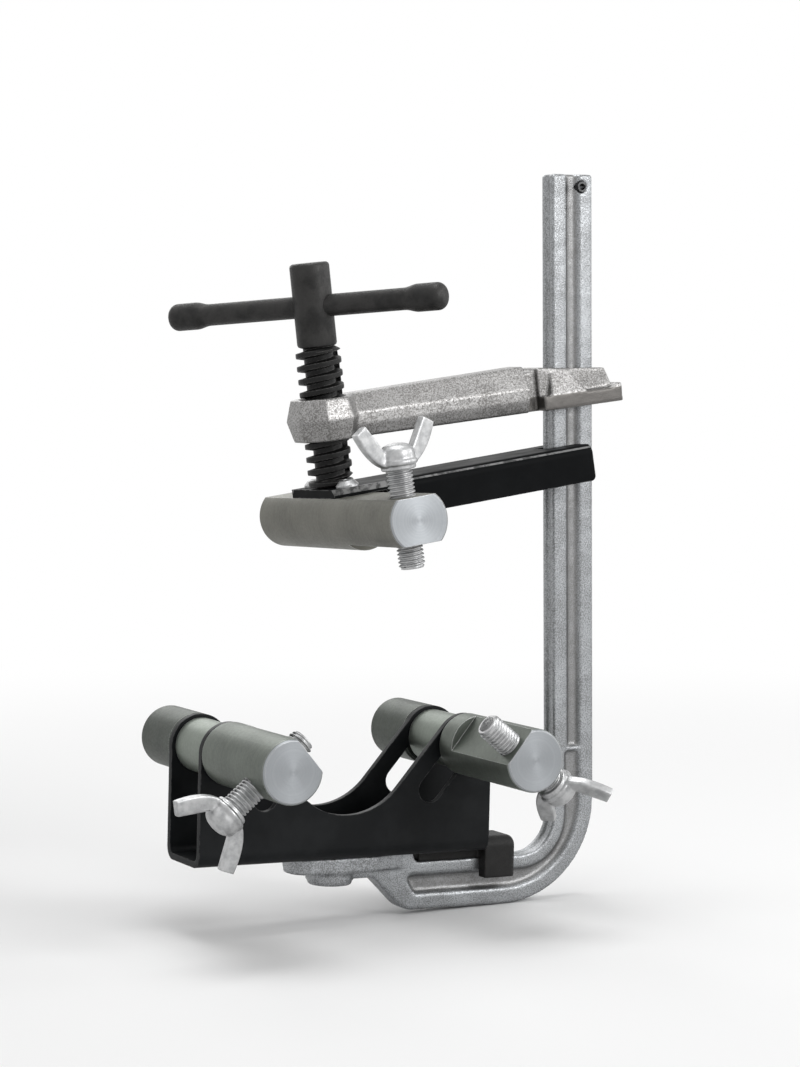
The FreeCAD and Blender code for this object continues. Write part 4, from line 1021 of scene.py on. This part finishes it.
@dataclass
class Studio:
    """Pale floor, soft lamps and the camera."""

    lamps: tuple[Lamp, ...] = (
        Lamp("key", (0.75, -1.5, 0.75), 14.0, 0.8, 0.9),
        Lamp("left", (-1.5, -0.5, 0.6), 0.5, 0.5, 1.2),
        Lamp("right", (1.5, -0.4, 0.6), 5.0, 0.6, 1.0),
        Lamp("top", (0.0, 0.1, 1.6), 12.0, 0.9, 0.9),
        Lamp("back", (0.2, 1.5, 0.9), 5.0, 1.0, 0.8),
    )
    lamp_target: tuple[float, float, float] = (0.03, 0.0, 0.05)
    floor_radius: float = 6.0
    floor_sides: int = 96
    fill: float = 0.36
    camera_place: tuple[float, float, float] = (-0.58091, -1.15537, 0.15073)
    azimuth: float = 28.06
    pitch: float = -3.85
    roll: float = -0.35
    lens: float = 94.38

    def floor(self) -> None:
        """Lay a round floor that brightens to white far from the clamp."""
        low = float(CAD_BOX[0][AXIS_Z]) - FLOOR_GAP
        angle = np.linspace(0, 2 * math.pi, self.floor_sides, endpoint=False)
        rim = np.stack([self.floor_radius * np.cos(angle), self.floor_radius * np.sin(angle),
                        np.full_like(angle, low)], axis=1)
        mesh = bpy.data.meshes.new("studio_floor")
        mesh.from_pydata(rim.tolist(), [], [tuple(range(self.floor_sides))])
        piece = bpy.data.objects.new("studio_floor", mesh)
        bpy.context.scene.collection.objects.link(piece)
        mesh.materials.append(self.floor_material())

    def floor_material(self) -> bpy.types.Material:
        """Return a pale matte material whose far part looks plain white, in reflections too."""
        graph = Graph("floor_pale")
        distance = graph.vector("LENGTH", graph.position).outputs["Value"]
        path = graph.add("ShaderNodeLightPath").outputs
        seen = graph.math("MAXIMUM", path["Is Camera Ray"], path["Is Glossy Ray"])
        seen = graph.math("MAXIMUM", seen, path["Is Transmission Ray"])
        far = graph.math("MULTIPLY", graph.span(distance, 0.30, 1.1), seen)
        matte = graph.add("ShaderNodeBsdfDiffuse", {"Color": tint(0.90)})
        white = graph.add("ShaderNodeEmission", {"Color": tint(1.0), "Strength": 1.0})
        mixed = graph.add("ShaderNodeMixShader", {0: far, 1: matte.outputs[0],
                                                  2: white.outputs[0]})
        graph.add("ShaderNodeOutputMaterial", {"Surface": mixed.outputs[0]})
        return graph.material

    def world(self) -> None:
        """Set a white surround for the camera and reflections, and a softer one for light."""
        world = bpy.data.worlds.new("studio_world")
        bpy.context.scene.world = world
        world.use_nodes = True
        tree = world.node_tree
        tree.nodes.clear()
        path = tree.nodes.new("ShaderNodeLightPath").outputs
        seen = self.join(tree, "ShaderNodeMath",
                         [path["Is Camera Ray"], path["Is Glossy Ray"]],
                         operation="MAXIMUM").outputs[0]
        seen = self.join(tree, "ShaderNodeMath", [seen, path["Is Transmission Ray"]],
                         operation="MAXIMUM").outputs[0]
        shown = self.join(tree, "ShaderNodeMix", [seen, None, self.fill, 1.0],
                          data_type="FLOAT").outputs[0]
        sheet = self.join(tree, "ShaderNodeBackground", [tint(1.0), shown])
        self.join(tree, "ShaderNodeOutputWorld", [sheet.outputs[0]])

    @staticmethod
    def join(tree: bpy.types.NodeTree, kind: str, values: list, **settings: object
             ) -> bpy.types.Node:
        """Add a node to a tree.

        Args:
            tree: The node tree.
            kind: The node's type name.
            values: Values or outputs for its inputs in order, None for one to leave.
            settings: The node's own settings.

        Returns:
            The node.
        """
        node = tree.nodes.new(kind)
        for key, value in settings.items():
            setattr(node, key, value)
        for index, value in enumerate(values):
            if isinstance(value, bpy.types.NodeSocket):
                tree.links.new(value, node.inputs[index])
            elif value is not None:
                node.inputs[index].default_value = value
        return node

    def hang(self, lamp: Lamp) -> None:
        """Hang one soft box aimed at the clamp."""
        data = bpy.data.lights.new(lamp.name, "AREA")
        data.shape = "RECTANGLE"
        data.size = lamp.width
        data.size_y = lamp.height
        data.energy = lamp.power
        box = bpy.data.objects.new(lamp.name, data)
        box.location = lamp.spot
        aim = Vector(self.lamp_target) - Vector(lamp.spot)
        box.rotation_euler = aim.to_track_quat("-Z", "Y").to_euler()
        bpy.context.scene.collection.objects.link(box)

    def camera(self) -> None:
        """Set the camera up at its height, angle and focal length."""
        data = bpy.data.cameras.new("view")
        data.sensor_width = 36.0
        data.lens = self.lens
        camera = bpy.data.objects.new("view", data)
        turn = (Matrix.Rotation(math.radians(-self.azimuth), 4, "Z")
                @ Matrix.Rotation(math.radians(90 + self.pitch), 4, "X")
                @ Matrix.Rotation(math.radians(self.roll), 4, "Z"))
        camera.matrix_world = Matrix.Translation(self.camera_place) @ turn
        bpy.context.scene.collection.objects.link(camera)
        bpy.context.scene.camera = camera

    def make(self) -> None:
        """Set the whole studio up."""
        bpy.context.scene.view_settings.view_transform = "Standard"
        self.floor()
        self.world()
        for lamp in self.lamps:
            self.hang(lamp)
        self.camera()


def wing_screws() -> list[WingScrew]:
    """Return the three wing screws at their places."""
    left = Side.LEFT.bar.within((0, 0, 0), about_y(-131.0))
    right = Side.RIGHT.bar.within((0, 0, 0), about_y(128.5))
    return [
        WingScrew("upper", PRESSURE.within((0, -69.2, 0), about_z(11.0)), advance=4.0),
        WingScrew("left", left.within((0, -65.0, 0), about_z(-4.0)), advance=0.2),
        WingScrew("right", right.within((0, -73.0, 0), about_z(61.0)), advance=8.5),
    ]


def main() -> None:
    """Build every sub-assembly in order."""
    logging.basicConfig(level=logging.INFO, format="%(message)s")
    Studio().make()
    makers = [RailFrame(), CradleSet(), SlidingArm(), Spindle(), UpperJaw()]
    makers += [LowerBar(side) for side in Side]
    makers += wing_screws()
    for maker in makers:
        maker.make()


if __name__ == "__main__":
    main()
